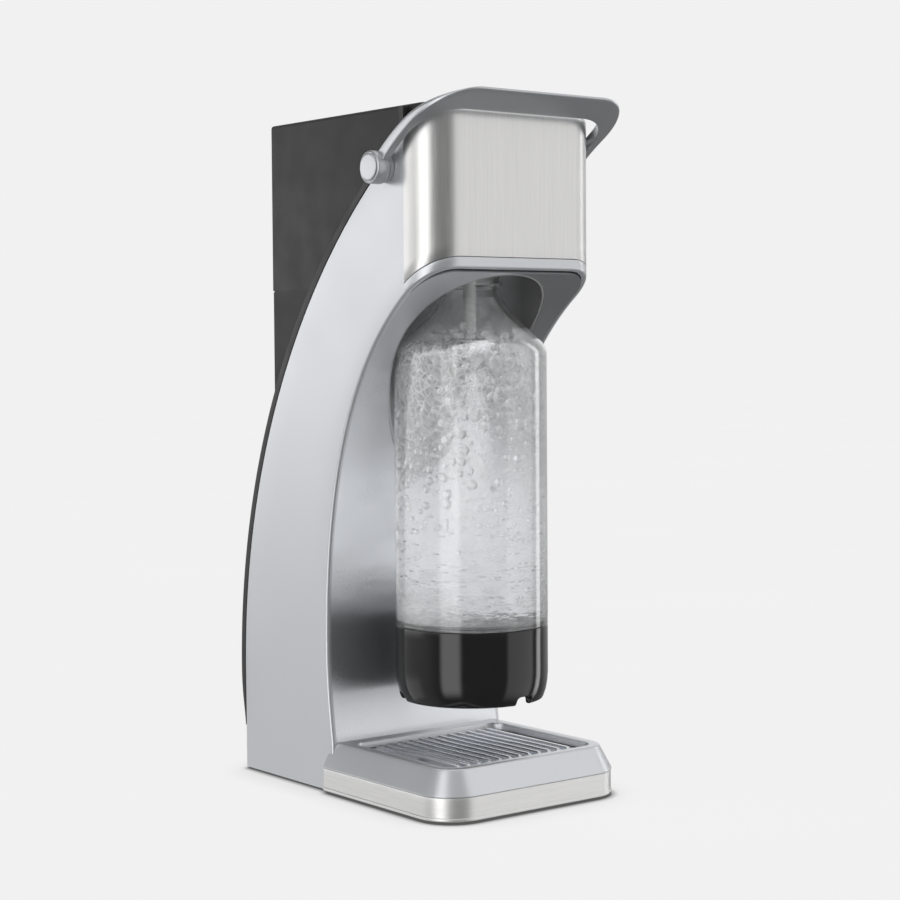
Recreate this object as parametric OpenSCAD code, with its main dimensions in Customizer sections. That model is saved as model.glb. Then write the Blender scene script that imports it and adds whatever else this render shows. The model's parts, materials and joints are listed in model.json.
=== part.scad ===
// Lever-operated sparkling water maker: a C-shaped body with silver side
// frames and a black rear housing, a steel-covered head with a pull-down
// lever, a tilting carbonating head that holds the bottle, and a drip tray.
// Frame: +Z up, front towards -Y, origin on the table at the middle of the
// footprint. Millimetres.

/* [Body] */
// Width over the two silver side panels
body_w = 124.2; // [123.8:0.2:124.6]
// Height of the black rear housing
body_h = 388.4; // [388:0.2:389]
// Thickness of a silver side panel
panel_t = 3.0; // [2.6:0.2:3.0]
// Back of the rear housing
back_y = 78.9; // [78.5:0.1:79.5]
// Height of the parting line of the removable rear cover
cover_z = 290; // [286:1:294]

/* [Head] */
// Front face of the head
head_front = -88.25; // [-88.5:0.25:-88]
// Seam between steel cover and side panels
seam_y = -66.25; // [-66.5:0.25:-66]
// Plan corner radius of the steel cover
corner_r = 22; // [21:0.5:22]
// Top of the steel cover
cover_top = 386; // [385.5:0.5:386.5]

/* [Lever] */
// Pivot of the lever, depth
pivot_y = -50.3; // [-50.5:0.1:-50]
// Pivot of the lever, height
pivot_z = 353.8; // [353.4:0.1:354.2]
// Front lip of the lever
lever_front = -112.45; // [-112.6:0.05:-112.3]
// Half width over the lever arms
lever_hw = 70.0; // [69.6:0.1:70.4]
// Thickness of the lever's front lip
lever_lip = 1.6; // [1.4:0.1:2.0]
// Height of the rail along the lever's inner edge
lever_rail = 9.0; // [8:0.2:9.4]

/* [Bottle] */
// Outer radius of the bottle
bottle_r = 43.5; // [43:0.1:43.6]
// Bottle axis, depth
bottle_y = -44.9; // [-45:0.1:-44.8]
// Underside of the bottle's base cup
cup_z = 56; // [55:0.5:57]

/* [Tray] */
// Width of the drip tray
tray_w = 132.2; // [131:0.2:133]
// Front of the drip tray
tray_front = -103.9; // [-104.5:0.1:-103.5]
// Height of the steel skirt
skirt_z = 14.5; // [13.5:0.5:14.5]
// Height of the tray's top rim
tray_top = 29; // [28.5:0.5:29]
// Radius of the tray's front corners
tray_r = 22; // [20:1:23]
// Slots in the drip grille
slot_count = 13; // [11:2:13]

/* [Hidden] */
$fn = 64;
hx = body_w / 2;            // half width of the body
px = hx - panel_t;          // inner face of a silver panel
lx = 53.1;                  // inner face of a liner
wx = 50.5;                  // inner face of the housing walls
tx = tray_w / 2;            // half width of the tray
cyl_y = 45;                 // gas cylinder axis
arc_y = -269.05;            // centre of the rear arc
arc_z = 62;
tilt_z = 320;               // trunnion axis of the carbonating head
rock_y = 22;                // rocker pivot
rock_z = 366;
e = 0.1;                    // assembly gap
frame_y = 4.25;             // puts the origin at the middle of the whole bounding box

// ---------- curves ----------
function bz(a, b, c, d, t) = a*pow(1-t,3) + 3*b*t*pow(1-t,2) + 3*c*t*t*(1-t) + d*pow(t,3);
// inner arch of the C, in (Y, Z), moved d into the body
function arch(d) = concat(
  [[6.05 + d, 1]],
  [for (i = [0:6]) bz([6.05+d,29], [8.45+d,45], [11.25+d,62], [11.25+d,85], i/6)],
  [for (i = [1:26]) bz([11.25+d,85], [11.25+d,215+0.5*d], [-35.65+0.7*d,269.4+0.75*d], [head_front,298.3+d], i/26)]);
// rear arc of the C, radius r, from the front end down to the start of the base
function rear_arc(r) = let (a1 = acos((head_front - arc_y)/r))
  [for (i = [0:30]) let (a = a1*(1 - i/30)) [arc_y + r*cos(a), arc_z + r*sin(a)]];
// closed C profile; the foot of the rear edge runs in to foot_y
function c_prof(r, d, foot_y) = concat(arch(d), rear_arc(r),
  [for (i = [1:6]) bz([arc_y+r,62], [arc_y+r,44], [foot_y+1.5,34], [foot_y,24], i/6)], [[foot_y, 1]]);
// back of the housing: straight, then the rear arc, then the foot
function back_pts(o) = let (r = 371 - o, a1 = acos((back_y - o - arc_y)/r)) concat(
  [[back_y - o, cover_z]],
  [for (i = [0:16]) let (a = a1*(1 - i/16)) [arc_y + r*cos(a), arc_z + r*sin(a)]],
  [for (i = [1:6]) bz([arc_y+r,62], [arc_y+r,44], [99-o,34], [97.5-o,24], i/6)], [[97.5-o, 1]]);
function rev(v) = [for (i = [len(v)-1:-1:0]) v[i]];
function ell(a, b, n) = [for (i = [0:n-1]) [a*cos(360*i/n), b*sin(360*i/n)]];

// ---------- helpers ----------
// extrude a (Y, Z) outline along X
module yz(x0, x1) { translate([x0,0,0]) rotate([90,0,90]) linear_extrude(x1 - x0) children(); }
// extrude an (X, Z) outline along Y
module xz(y0, y1) { translate([0,y1,0]) rotate([90,0,0]) linear_extrude(y1 - y0) children(); }
module cyl_x(x0, x1, r, y, z) { translate([x0,y,z]) rotate([0,90,0]) cylinder(r=r, h=x1-x0); }
module both() { children(); mirror([1,0,0]) children(); }
// plan outline with two rounded front corners
module front_round(hw, front, back, r) {
  translate([-hw, front + r]) square([2*hw, back - front - r]);
  translate([-hw + r, front]) square([2*(hw - r), r + 1]);
  for (s = [-1, 1]) translate([s*(hw - r), front + r]) circle(r);
}
// the same outline, cut off straight at its back
module front_cut(hw, front, back, r) intersection() {
  front_round(hw, front, back, r);
  translate([-hw, front]) square([2*hw, back - front]);
}
module rrect(hw, y0, y1, r) {
  translate([-hw, y0 + r]) square([2*hw, y1 - y0 - 2*r]);
  translate([-hw + r, y0]) square([2*(hw - r), y1 - y0]);
  for (s = [-1, 1], y = [y0 + r, y1 - r]) translate([s*(hw - r), y]) circle(r);
}
module above_arch(d) { polygon(concat(arch(d), [[head_front,420],[120,420],[120,1]])); }
// round bar swept along a list of points
module sweep(p, r, s) {
  n = len(p);
  pts = [for (i = [0:n-1]) let (
      t0 = p[min(i+1,n-1)] - p[max(i-1,0)], t = t0/norm(t0),
      n0 = cross(t, [0.05,0.02,1]), nn = n0/norm(n0), b = cross(t, nn))
    for (j = [0:s-1]) p[i] + r*cos(360*j/s)*nn + r*sin(360*j/s)*b];
  polyhedron(pts, concat(
    [[for (j = [0:s-1]) j]],
    [for (i = [0:n-2], j = [0:s-1]) [i*s+j, (i+1)*s+j, (i+1)*s+(j+1)%s]],
    [for (i = [0:n-2], j = [0:s-1]) [i*s+j, (i+1)*s+(j+1)%s, i*s+(j+1)%s]],
    [[for (j = [s-1:-1:0]) (n-1)*s+j]]), convexity=8);
}
function coil(x, y, r, z0, z1, turns) = let (n = turns*12)
  [for (i = [0:n]) [x + r*cos(360*i/12), y + r*sin(360*i/12), z0 + (z1-z0)*i/n]];
function crom(p, k) = let (n = len(p)) concat(
  [for (i = [0:n-2], j = [0:k-1]) let (t = j/k,
     a = p[max(i-1,0)], b = p[i], c = p[i+1], d = p[min(i+2,n-1)])
     0.5*(2*b + (c-a)*t + (2*a-5*b+4*c-d)*t*t + (3*b-a-3*c+d)*t*t*t)], [p[n-1]]);

// ---------- chassis ----------
// where the base is screwed to the tray's frame
module base_points() { for (x = [-1,1], y = [-90,-6]) translate([x*(y < -50 ? 54 : 58), y, 0]) children(); }
module base_plate() color("dimgray") difference() {
  union() {
    translate([0,0,1]) linear_extrude(2.5) front_round(61.8, -99.8, 5.5, tray_r - 4.2);
    translate([-50.2,5,1]) cube([100.4,89,2.5]);
  }
  base_points() { cylinder(r=1.6, h=5); cylinder(r=3.4, h=2.3); }
}
module feet() color("black")
  for (x = [-1,1], y = [-92, 14, 86]) translate([x*(y > 0 ? 42 : 54) - (y < 0 ? x*10 : 0), y, 0]) cylinder(r=7, h=1);
module base_screws() color("silver")
  base_points() translate([0,0,1]) { cylinder(r=3.2, h=1.2); cylinder(r=1.5, h=11); }

module side_panel() difference() {
  yz(px, hx) intersection() {
    polygon(c_prof(368, 0, arc_y + 368));
    translate([seam_y,0]) square([200,420]);
  }
  cyl_x(50, 70, 6.5, pivot_y, pivot_z);
}
module left_side_panel() color("lightsteelblue") mirror([1,0,0]) side_panel();
module right_side_panel() color("lightsteelblue") side_panel();

frame_pts = [[-56,338],[-4,318]];
module liner() difference() {
  union() {
    yz(lx, px - e) intersection() { polygon(c_prof(373, 2.7, 98.9)); translate([-62,0]) square([200,420]); }
    yz(px - e - 0.01, hx) difference() {
      intersection() { polygon(c_prof(373, 2.7, 98.9)); translate([seam_y,0]) square([200,420]); }
      polygon(c_prof(368.2, -2, arc_y + 368.2));
    }
  }
  cyl_x(50, 70, 6.5, pivot_y, pivot_z);
  for (p = frame_pts) { cyl_x(50, 62, 1.7, p[0], p[1]); cyl_x(56.4, 62, 3.2, p[0], p[1]); }
}
module left_liner() color([0.12,0.12,0.13]) mirror([1,0,0]) liner();
module right_liner() color([0.12,0.12,0.13]) liner();

pock_y = -41.25;
module arch_liner() color("silver") difference() {
  intersection() {
    yz(-px + e, px - e) intersection() {
      polygon(concat(arch(0), rev(arch(2.5))));
      translate([-120,3.6]) square([260,400]);
    }
    linear_extrude(400) front_round(px - e, head_front + 3.1, 120, corner_r - 3.1);
  }
  translate([0,pock_y,150]) linear_extrude(200) polygon(ell(45.8, 42.8, 72));
}
module bottle_pocket() color([0.15,0.15,0.16]) union() {
  intersection() {
    translate([0,pock_y,150]) linear_extrude(153.5) difference() {
      polygon(ell(45.7, 42.7, 72)); polygon(ell(44.5, 41.5, 72)); }
    yz(-70, 70) above_arch(0);
  }
  difference() {
    translate([0,pock_y,303]) linear_extrude(2) polygon(ell(45.7, 42.7, 72));
    translate([0,bottle_y,300]) cylinder(r=30, h=8);
  }
}

// side-view region of the steel cover and of the trim band below it
module band_region(lo, hi) intersection() {
  polygon(concat(
    [for (q = arch(0)) if (q[0] <= -40) [q[0], q[1] + lo]],
    rev([for (q = arch(0)) if (q[0] <= -40) [q[0], hi > 100 ? hi : q[1] + hi]])));
  translate([-200,0]) square([200 + seam_y, 420]);
}
// the cover's top edge is rounded, radius 4; o moves the surface inwards
function top_round(o) = [for (i = [0:4]) [(4 - o)*(1 - cos(22.5*i)), cover_top - 4 + (4 - o)*sin(22.5*i)]];
module cover_solid(o) intersection() {
  linear_extrude(cover_top) front_round(hx - o, head_front + o, seam_y + 2, corner_r - o);
  yz(-70, 70) polygon(concat([[20,200],[head_front + o,200]],
    [for (q = top_round(o)) [head_front + o + q[0], q[1]]], [[20, cover_top - o]]));
  xz(-120, 20) polygon(concat([[o - hx,200]], [for (q = top_round(o)) [o - hx + q[0], q[1]]],
    rev([for (q = top_round(o)) [hx - o - q[0], q[1]]]), [[hx - o,200]]));
}
// the sides of the cover are cut down behind the lever's arms
module front_cover() color("gainsboro") difference() {
  intersection() {
    difference() { cover_solid(0); cover_solid(1.5); }
    yz(-70, 70) band_region(6.6, cover_top + 5);
  }
  yz(-70, 70) polygon([[-60,cover_top - 17.7],[head_front + 1.85,cover_top],[head_front + 1.85,cover_top + 10],[-60,cover_top + 10]]);
}
module front_trim() color("silver") intersection() {
  linear_extrude(400) difference() {
    front_round(hx, head_front, seam_y + 2, corner_r);
    front_round(hx - 3, head_front + 3, seam_y + 4, corner_r - 3);
  }
  yz(-70, 70) band_region(0, 6.5);
}
module head_frame() color([0.13,0.13,0.14]) difference() {
  union() {
    translate([-px + 0.2, seam_y + 0.05, 292]) cube([2*(px - 0.2), 4, cover_top - 292]);
    translate([-hx + 0.2, seam_y + 0.05, 375.4]) cube([2*(hx - 0.2), 4, cover_top - 375.4]);
    translate([0, 0, 368]) linear_extrude(cover_top - 368) front_cut(hx - 4.2, head_front + 4.2, seam_y + 1, corner_r - 4.2);
  }
  translate([-48, seam_y - 1, 280]) cube([96, 8, 90]);
  translate([0, 0, 360]) linear_extrude(cover_top - 362.4) front_cut(hx - 6.4, head_front + 6.4, seam_y + 0.05, corner_r - 6.4);
}

// ---------- rear ----------
module rear_housing() color([0.16,0.16,0.17]) difference() {
  union() {
    both() yz(wx, lx - e) intersection() {
      polygon(concat(arch(3.0), [[head_front,body_h],[back_y,body_h],[back_y,cover_z+0.3]], back_pts(2.9)));
      translate([-62,0]) square([240,420]);
    }
    translate([-wx - 1, back_y - 2.5, cover_z + 0.01]) cube([2*wx + 2, 2.5, body_h - cover_z - 0.01]);
    translate([-wx - 1, -62, body_h - 2.5]) cube([2*wx + 2, back_y + 62, 2.5]);
    translate([0, 0, cover_top + e]) linear_extrude(body_h - cover_top - e) front_round(lx - e, -80, -61, 13);
  }
  translate([-60, back_y - 2.7, cover_z - 60]) cube([120, 10, 60.3]);
  cyl_x(-60, 60, 7, pivot_y, pivot_z);
  both() for (p = frame_pts) cyl_x(50, 54, 1.7, p[0], p[1]);
}
module rear_cover() color([0.14,0.14,0.15]) yz(-lx + 0.4, lx - 0.4) intersection() {
  polygon(concat(back_pts(0), rev(back_pts(2.5))));
  translate([0,5]) square([200, cover_z - 5.5]);
}

// ---------- drip tray ----------
module tray_skirt() color("gainsboro") difference() {
  translate([0,0,0.8]) linear_extrude(skirt_z - 0.8) difference() {
    front_round(tx, tray_front, 10.25, tray_r);
    front_round(tx - 1.5, tray_front + 1.5, 11, tray_r - 1.5);
  }
}
module tray_frame() color("silver") difference() {
  union() {
    translate([0,0,3.6]) linear_extrude(skirt_z - 3.5) front_round(tx - 1.6, tray_front + 1.6, 5.9, tray_r - 1.6);
    hull() {
      translate([0,0,skirt_z + 0.05]) linear_extrude(0.45) front_round(tx, tray_front, 10.25, tray_r);
      translate([0,0,tray_top - 0.1]) linear_extrude(0.1) front_round(tx - 7.5, tray_front + 7.5, 10.25, tray_r - 7.5);
    }
  }
  translate([-hx - 0.3, 5.9, 0]) cube([2*hx + 0.6, 10, 40]);
  linear_extrude(40) rrect(52.5, -90.7, -0.9, 8);
  base_points() translate([0,0,3]) cylinder(r=1.6, h=10);
}
module drip_pan() color("slategray") difference() {
  translate([0,0,4]) linear_extrude(21) rrect(52, -90.2, -1.4, 7.5);
  translate([0,0,5.6]) linear_extrude(30) difference() {
    rrect(50.5, -88.7, -2.9, 6);
    for (s = [-1,1], y = [-87.8,-3.8]) translate([s*46.5,y]) circle(5);
  }
  translate([0,0,22]) linear_extrude(10) rrect(50.5, -88.7, -2.9, 6);
}
grille_mid = -45.8;
module drip_grille() color("lightgray") difference() {
  translate([0,0,22.4]) linear_extrude(2.6) rrect(50.1, -88.3, -3.3, 5.6);
  for (i = [0:slot_count-1]) translate([(i - (slot_count-1)/2)*7.2, 0, 20]) {
    translate([-1.7, grille_mid - 36, 0]) cube([3.4, 72, 10]);
    for (s = [-1,1]) translate([0, grille_mid + s*36, 0]) cylinder(r=1.7, h=10);
  }
  for (s = [-1,1]) translate([s*50.1, grille_mid, 20]) cylinder(r=6, h=10);
}

// ---------- lever and mechanism ----------
// underside of the lever at distance d in front of its pivot, and its upright thickness there
function lev_z(d) = pivot_z - 4.8 + 1.08*d - 0.0113*d*d + 0.000079*d*d*d;
function lev_t(d) = max(lever_lip, 10.2 - 0.15*d);
// plan of a bail with elliptic corners
module bail_plan(hw, rx, ry, front, back) {
  c = [for (i = [0:18]) [hw - rx*(1 - cos(5*i)), front + ry*(1 - sin(5*i))]];
  polygon(concat([[-hw, back]], [for (q = c) [-q[0], q[1]]], rev(c), [[hw, back]]));
}
module lever() color("gainsboro") difference() {
  union() {
    intersection() {
      linear_extrude(420) difference() {
        bail_plan(lever_hw, 27.5, 32, lever_front, pivot_y + 2);
        bail_plan(65.2, 24.7, 21.3, -95.6, pivot_y + 20);
      }
      yz(-90, 90) polygon(concat(
        [for (d = [-2:4:66]) [pivot_y - d, lev_z(d)]],
        rev([for (d = [-2:4:66]) [pivot_y - d, lev_z(d) + lev_t(d)]])));
    }
    intersection() {
      linear_extrude(420) difference() {
        bail_plan(lever_hw - 0.6, 27.2, 26, -100.8, pivot_y + 2);
        bail_plan(65.2, 24.7, 21.3, -95.6, pivot_y + 20);
      }
      yz(-90, 90) polygon(concat(
        [for (d = [-2:4:54]) [pivot_y - d, lev_z(d)]],
        rev([for (d = [-2:4:54]) [pivot_y - d, min(body_h + 2.4, lev_z(d) + max(lever_rail, lev_t(d)))]])));
    }
    both() cyl_x(65.2, 73.4, 9, pivot_y, pivot_z);
  }
  cyl_x(-80, 80, 4.02, pivot_y, pivot_z);
}
module pivot_caps() color("white") both() cyl_x(73.4, 74.2, 7.5, pivot_y, pivot_z);
module lever_shaft() color("darkgray") cyl_x(-73.3, 73.3, 4, pivot_y, pivot_z);
module pivot_bushes() color("gray") both() difference() {
  union() { cyl_x(lx + e, hx + e, 6.4, pivot_y, pivot_z); cyl_x(hx + e, hx + 2.8, 8.2, pivot_y, pivot_z); }
  cyl_x(40, 80, 4.06, pivot_y, pivot_z);
}
module lever_crank() color("darkgray") difference() {
  union() {
    cyl_x(-6, 6, 8.5, pivot_y, pivot_z);
    translate([-5, pivot_y, pivot_z - 4]) cube([10, 14, 8]);
    cyl_x(-5, 5, 4, pivot_y + 14, pivot_z);
  }
  cyl_x(-10, 10, 4.02, pivot_y, pivot_z);
}
module return_spring() color("silver") sweep(coil(0, -30, 4.2, 365.4, 378.3, 5), 0.6, 6);
module rocker_arm() color("darkgray") difference() {
  yz(-5, 5) polygon([[-42,358.2],[-24,358.2],[12,361.5],[22,359.5],[31,362.5],[39,370.5],[51,370.5],[51,375.5],
    [36,375.5],[28,372.6],[22,372.8],[10,370.5],[-24,364.4],[-42,364.4]]);
  cyl_x(-10, 10, 3.06, rock_y, rock_z);
}
module rocker_pin() color("silver") cyl_x(-31, 31, 3, rock_y, rock_z);
module mechanism_frame() color("gray") difference() {
  union() {
    both() {
      yz(28, 31) polygon([[-59,312],[-32,312],[-26,326],[2,330],[30,336],[64,336],[64,382],[-59,382]]);
      for (p = frame_pts) cyl_x(31, wx - e, 5, p[0], p[1]);
      yz(28, 31) polygon([[-12,331],[-12,312],[4,312],[4,332]]);
    }
    translate([-28.5, -37, 379]) cube([57, 14, 3]);
  }
  both() {
    cyl_x(20, 40, 4.06, bottle_y, tilt_z);
    cyl_x(20, 40, 5, pivot_y, pivot_z);
    cyl_x(20, 40, 3.02, rock_y, rock_z);
    cyl_x(20, 40, 5.6, 36.6, 350);
    for (p = frame_pts) cyl_x(37, 60, 1.6, p[0], p[1]);
    for (y = [48, 58]) cyl_x(20, 40, 1.6, y, 343);
  }
}
module frame_screws() color("silver") both() for (p = frame_pts) {
  cyl_x(38, 58.5, 1.5, p[0], p[1]); cyl_x(56.5, 58.9, 3, p[0], p[1]); }

// ---------- gas valve ----------
module gas_manifold() color("silver") difference() {
  union() {
    translate([-19.5, 27, 330]) cube([39, 36, 28]);
    both() translate([19, 44, 339.5]) cube([8.9, 18, 7]);
  }
  translate([0,cyl_y,329]) cylinder(r=10.56, h=15.2);
  translate([0,cyl_y,340]) cylinder(r=3.05, h=20);
  cyl_x(11, 25, 2.6, 38, 350);
  translate([-12.5,36,350]) cylinder(r=1.5, h=10);
  both() for (y = [48, 58]) cyl_x(21.5, 40, 1.6, y, 343);
}
module manifold_gasket() color("black") translate([0,cyl_y,343.6]) difference() {
  cylinder(r=10.3, h=0.55); translate([0,0,-1]) cylinder(r=4, h=4); }
module manifold_screws() color("silver") both() for (y = [48, 58]) {
  cyl_x(22, 32, 1.5, y, 343); cyl_x(31, 33, 2.8, y, 343); }
module valve_plunger() color("silver") translate([0,cyl_y,0]) {
  translate([0,0,346]) cylinder(r=3, h=12);
  translate([0,0,357]) cylinder(r=2, h=12.8);
  translate([0,0,364.6]) cylinder(r=5, h=1.4);
}
module valve_pin() color("goldenrod") translate([0,cyl_y,334]) cylinder(r=1.4, h=12);
module valve_spring() color("silver") sweep(coil(0, cyl_y, 4.1, 358.6, 364, 3), 0.45, 6);
module co2_cylinder() color("lightslategray") translate([0,cyl_y,0]) rotate_extrude() polygon(concat(
  [[0,11],[20,11],[24,8],[27,8],[30,12]],
  [for (i = [0:10]) bz([30,292], [30,314], [13.5,314], [13,326], i/10)], [[8,326],[8,316]],
  [for (i = [10:-1:0]) bz([26.5,290], [26.5,309], [9.5,310], [8.5,315], i/10)], [[26.5,18],[22,15],[0,15]]));
module cylinder_valve() color("goldenrod") translate([0,cyl_y,0]) difference() {
  union() { translate([0,0,326]) cylinder(r=12.5, h=3.6); translate([0,0,329]) cylinder(r=10.5, h=14.5); }
  translate([0,0,329.5]) cylinder(r=1.9, h=15);
  translate([0,0,341.6]) cylinder(r=3.5, h=3);
}
module cylinder_cradle() color("dimgray") translate([0,cyl_y,3.5]) difference() {
  cylinder(r=33.5, h=18); translate([0,0,2]) cylinder(r=30.6, h=30); }
tube_pts = [[38,-41,320],[38,-34,320],[38,-25,324],[38,-14,334],[39,0,340],[39.5,14,345],[37,27,349],[30,36,350],[22,38,350],[13,38,350]];
module gas_tube() color("white") sweep(crom(tube_pts, 4), 2.4, 10);
module gas_swivel() color("goldenrod") difference() {
  union() { cyl_x(31, 43, 6.4, bottle_y, tilt_z);
    translate([38, bottle_y, tilt_z]) rotate([-90,0,0]) cylinder(r=4, h=9); }
  cyl_x(20, 36, 4.06, bottle_y, tilt_z);
  translate([38, bottle_y + 3.4, tilt_z]) rotate([-90,0,0]) cylinder(r=2.6, h=20);
}
module relief_valve() color("goldenrod") translate([-12.5,36,358]) difference() {
  cylinder(r=5, h=14); translate([0,0,-1]) cylinder(r=3.06, h=13); cylinder(r=1.2, h=20); }
module relief_poppet() color("black") translate([-12.5,36,358.4]) { cylinder(r=3, h=3.6); cylinder(r=1.4, h=5); }
module relief_spring() color("silver") sweep(coil(-12.5, 36, 2.3, 362.6, 369.4, 4), 0.35, 6);

// ---------- carbonating head and bottle ----------
module carbonating_head() color([0.2,0.2,0.21]) difference() {
  union() {
    translate([0,bottle_y,0]) rotate_extrude() polygon([[0,299],[19.5,299],[22,301],[22,327],[19,330],[12,330],[12,334],[0,334]]);
    both() cyl_x(15, 33.5, 4, bottle_y, tilt_z);
  }
  translate([0,bottle_y,0]) {
    translate([0,0,290]) cylinder(r=17.5, h=22.5);
    translate([0,0,300]) cylinder(r=3.8, h=17);
    translate([0,0,316]) cylinder(r=2.5, h=7);
  }
  cyl_x(0, 40, 1.5, bottle_y, tilt_z);
}
module nozzle_tube() color("white") translate([0,bottle_y,0]) rotate_extrude()
  polygon([[1.5,249],[2.6,249],[3.7,252],[3.7,316.9],[1.5,316.9]]);
module bottle_gasket() color("black") translate([0,bottle_y,309.4]) difference() {
  cylinder(r=17.3, h=3); translate([0,0,-1]) cylinder(r=12, h=6); }
module bottle() color([0.8,0.9,0.95]) translate([0,bottle_y,0]) rotate_extrude() polygon(concat(
  [[0,64],[35,64]], [for (i = [0:5]) bz([36,64], [40,64], [41.6,66], [41.6,72], i/5)],
  [[41.6,98.7],[bottle_r,98.7]],
  [for (i = [0:12]) bz([bottle_r,252], [bottle_r,263], [20,272], [17,288], i/12)],
  [[17,290],[18.6,290.6],[18.6,292.4],[17,293],[17,309],[13,309]],
  [for (i = [12:-1:0]) bz([bottle_r-1.4,251.5], [bottle_r-1.4,262], [17.5,271], [13,287], i/12)],
  [[bottle_r-1.4,100.5],[40.2,99.5],[40.2,73],[39.2,69],[36,66],[34,65.4],[0,65.4]]));
module bottle_base_cup() color([0.06,0.06,0.07]) translate([0,bottle_y,0]) difference() {
  rotate_extrude() polygon(concat([[0,62],[36,62],[37,cup_z],[39.6,cup_z],[40.8,57.4],[43.1,65],[bottle_r,70],[bottle_r,98.6],[41.7,98.6]],
    [for (i = [5:-1:0]) bz([36.1,63.9], [40.1,63.9], [41.7,65.9], [41.7,71.9], i/5)], [[0,63.9]]));
  for (a = [277,157,37]) rotate([0,0,a]) translate([35.5,-6,50]) cube([12,12,11]);
}

module placed() { translate([0, frame_y, 0]) children(); }

placed() base_plate();
placed() left_side_panel();
placed() right_side_panel();
placed() left_liner();
placed() right_liner();
placed() arch_liner();
placed() bottle_pocket();
placed() front_cover();
placed() front_trim();
placed() head_frame();
placed() rear_housing();
placed() rear_cover();
placed() tray_skirt();
placed() tray_frame();
placed() drip_pan();
placed() drip_grille();
placed() feet();
placed() lever();
placed() lever_shaft();
placed() pivot_caps();
placed() pivot_bushes();
placed() lever_crank();
placed() return_spring();
placed() rocker_arm();
placed() rocker_pin();
placed() mechanism_frame();
placed() valve_plunger();
placed() valve_pin();
placed() valve_spring();
placed() gas_manifold();
placed() manifold_gasket();
placed() co2_cylinder();
placed() cylinder_valve();
placed() cylinder_cradle();
placed() gas_tube();
placed() gas_swivel();
placed() carbonating_head();
placed() nozzle_tube();
placed() bottle_gasket();
placed() relief_valve();
placed() relief_poppet();
placed() relief_spring();
placed() bottle();
placed() bottle_base_cup();
placed() base_screws();
placed() frame_screws();
placed() manifold_screws();
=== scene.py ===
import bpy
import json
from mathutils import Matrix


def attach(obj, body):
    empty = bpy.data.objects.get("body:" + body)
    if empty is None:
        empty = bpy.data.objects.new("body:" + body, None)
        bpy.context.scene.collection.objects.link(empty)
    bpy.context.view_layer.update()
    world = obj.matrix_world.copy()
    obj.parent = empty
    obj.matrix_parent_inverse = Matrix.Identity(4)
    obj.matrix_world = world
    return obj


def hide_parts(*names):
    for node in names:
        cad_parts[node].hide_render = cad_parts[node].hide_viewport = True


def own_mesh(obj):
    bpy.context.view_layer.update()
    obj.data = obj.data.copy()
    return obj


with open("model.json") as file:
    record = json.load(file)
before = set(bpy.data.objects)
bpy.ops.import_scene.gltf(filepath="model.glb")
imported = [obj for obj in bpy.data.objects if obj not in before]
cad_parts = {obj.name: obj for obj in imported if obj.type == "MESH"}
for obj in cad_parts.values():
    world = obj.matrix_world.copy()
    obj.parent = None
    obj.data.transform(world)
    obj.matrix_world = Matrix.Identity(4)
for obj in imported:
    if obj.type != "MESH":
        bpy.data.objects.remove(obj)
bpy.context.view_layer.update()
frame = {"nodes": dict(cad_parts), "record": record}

import json
import math

import bmesh
import bpy
import numpy as np
from mathutils import Matrix, Vector

SC = bpy.context.scene
NODE = frame["nodes"]
RNG = np.random.default_rng(11)
MM = 0.001

# ------------------------------------------------------------------ measures (mm), as in the CAD
HX, PX, LX = 62.1, 59.1, 53.1            # outside and inside of a silver panel, inside of a liner
SEAM, FRONT, CR = -66.25, -88.25, 22.0   # seam and front of the head, its plan corner
TOP = 386.0                              # top of the steel cover
ARC = (-269.05, 62.0)                    # centre of the rear arcs
PIV = (-50.3, 353.8)                     # lever pivot (Y, Z)
AX = -44.9                               # bottle axis (Y)
SHIFT = 4.25                             # the row's origin is the middle of the bounding box: everything moves back by this


# ------------------------------------------------------------------ small geometry kit
def bz(a, b, c, d, n, first=0):
    a, b, c, d = (np.array(q, float) for q in (a, b, c, d))
    t = (np.arange(first, n + 1) / n)[:, None]
    return a * (1 - t) ** 3 + 3 * b * t * (1 - t) ** 2 + 3 * c * t * t * (1 - t) + d * t ** 3


def arch(d=0.0):
    """Inner arch of the C in (Y, Z), moved d into the body."""
    return np.vstack([
        [[6.05 + d, 1.0], [6.05 + d, 3.6]],
        bz((6.05 + d, 29), (8.45 + d, 45), (11.25 + d, 62), (11.25 + d, 85), 14),
        bz((11.25 + d, 85), (11.25 + d, 215 + 0.5 * d), (-35.65 + 0.7 * d, 269.4 + 0.75 * d), (FRONT, 298.3 + d), 90, 1)])


def rear(r, end_y, foot=None):
    """Rear contour of radius r in (Y, Z), from the base up to end_y."""
    a1 = math.acos((end_y - ARC[0]) / r)
    arc = [[ARC[0] + r * math.cos(a1 * i / 70), ARC[1] + r * math.sin(a1 * i / 70)] for i in range(71)]
    x = ARC[0] + r
    if foot is None:
        return np.vstack([[[x, 1.0], [x, 30.0]], arc])
    low = bz((x, 62), (x, 44), (foot + 1.5, 34), (foot, 24), 12)[::-1][:-1]
    return np.vstack([[[foot, 1.0], [foot, 12.0]], low, arc])


ARCH0 = arch()
UP = ARCH0[ARCH0[:, 1] >= 84.9]


def arch_z(y):
    return np.interp(-np.asarray(y, float), -UP[:, 0], UP[:, 1])


def clip_y(p, y):
    """The part of a (Y, Z) line behind y, ending exactly at y."""
    k = int(np.argmax(p[:, 0] < y)) if (p[:, 0] < y).any() else len(p)
    if k == len(p):
        return p
    t = (y - p[k - 1, 0]) / (p[k, 0] - p[k - 1, 0])
    return np.vstack([p[:k], p[k - 1] + t * (p[k] - p[k - 1])])


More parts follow.
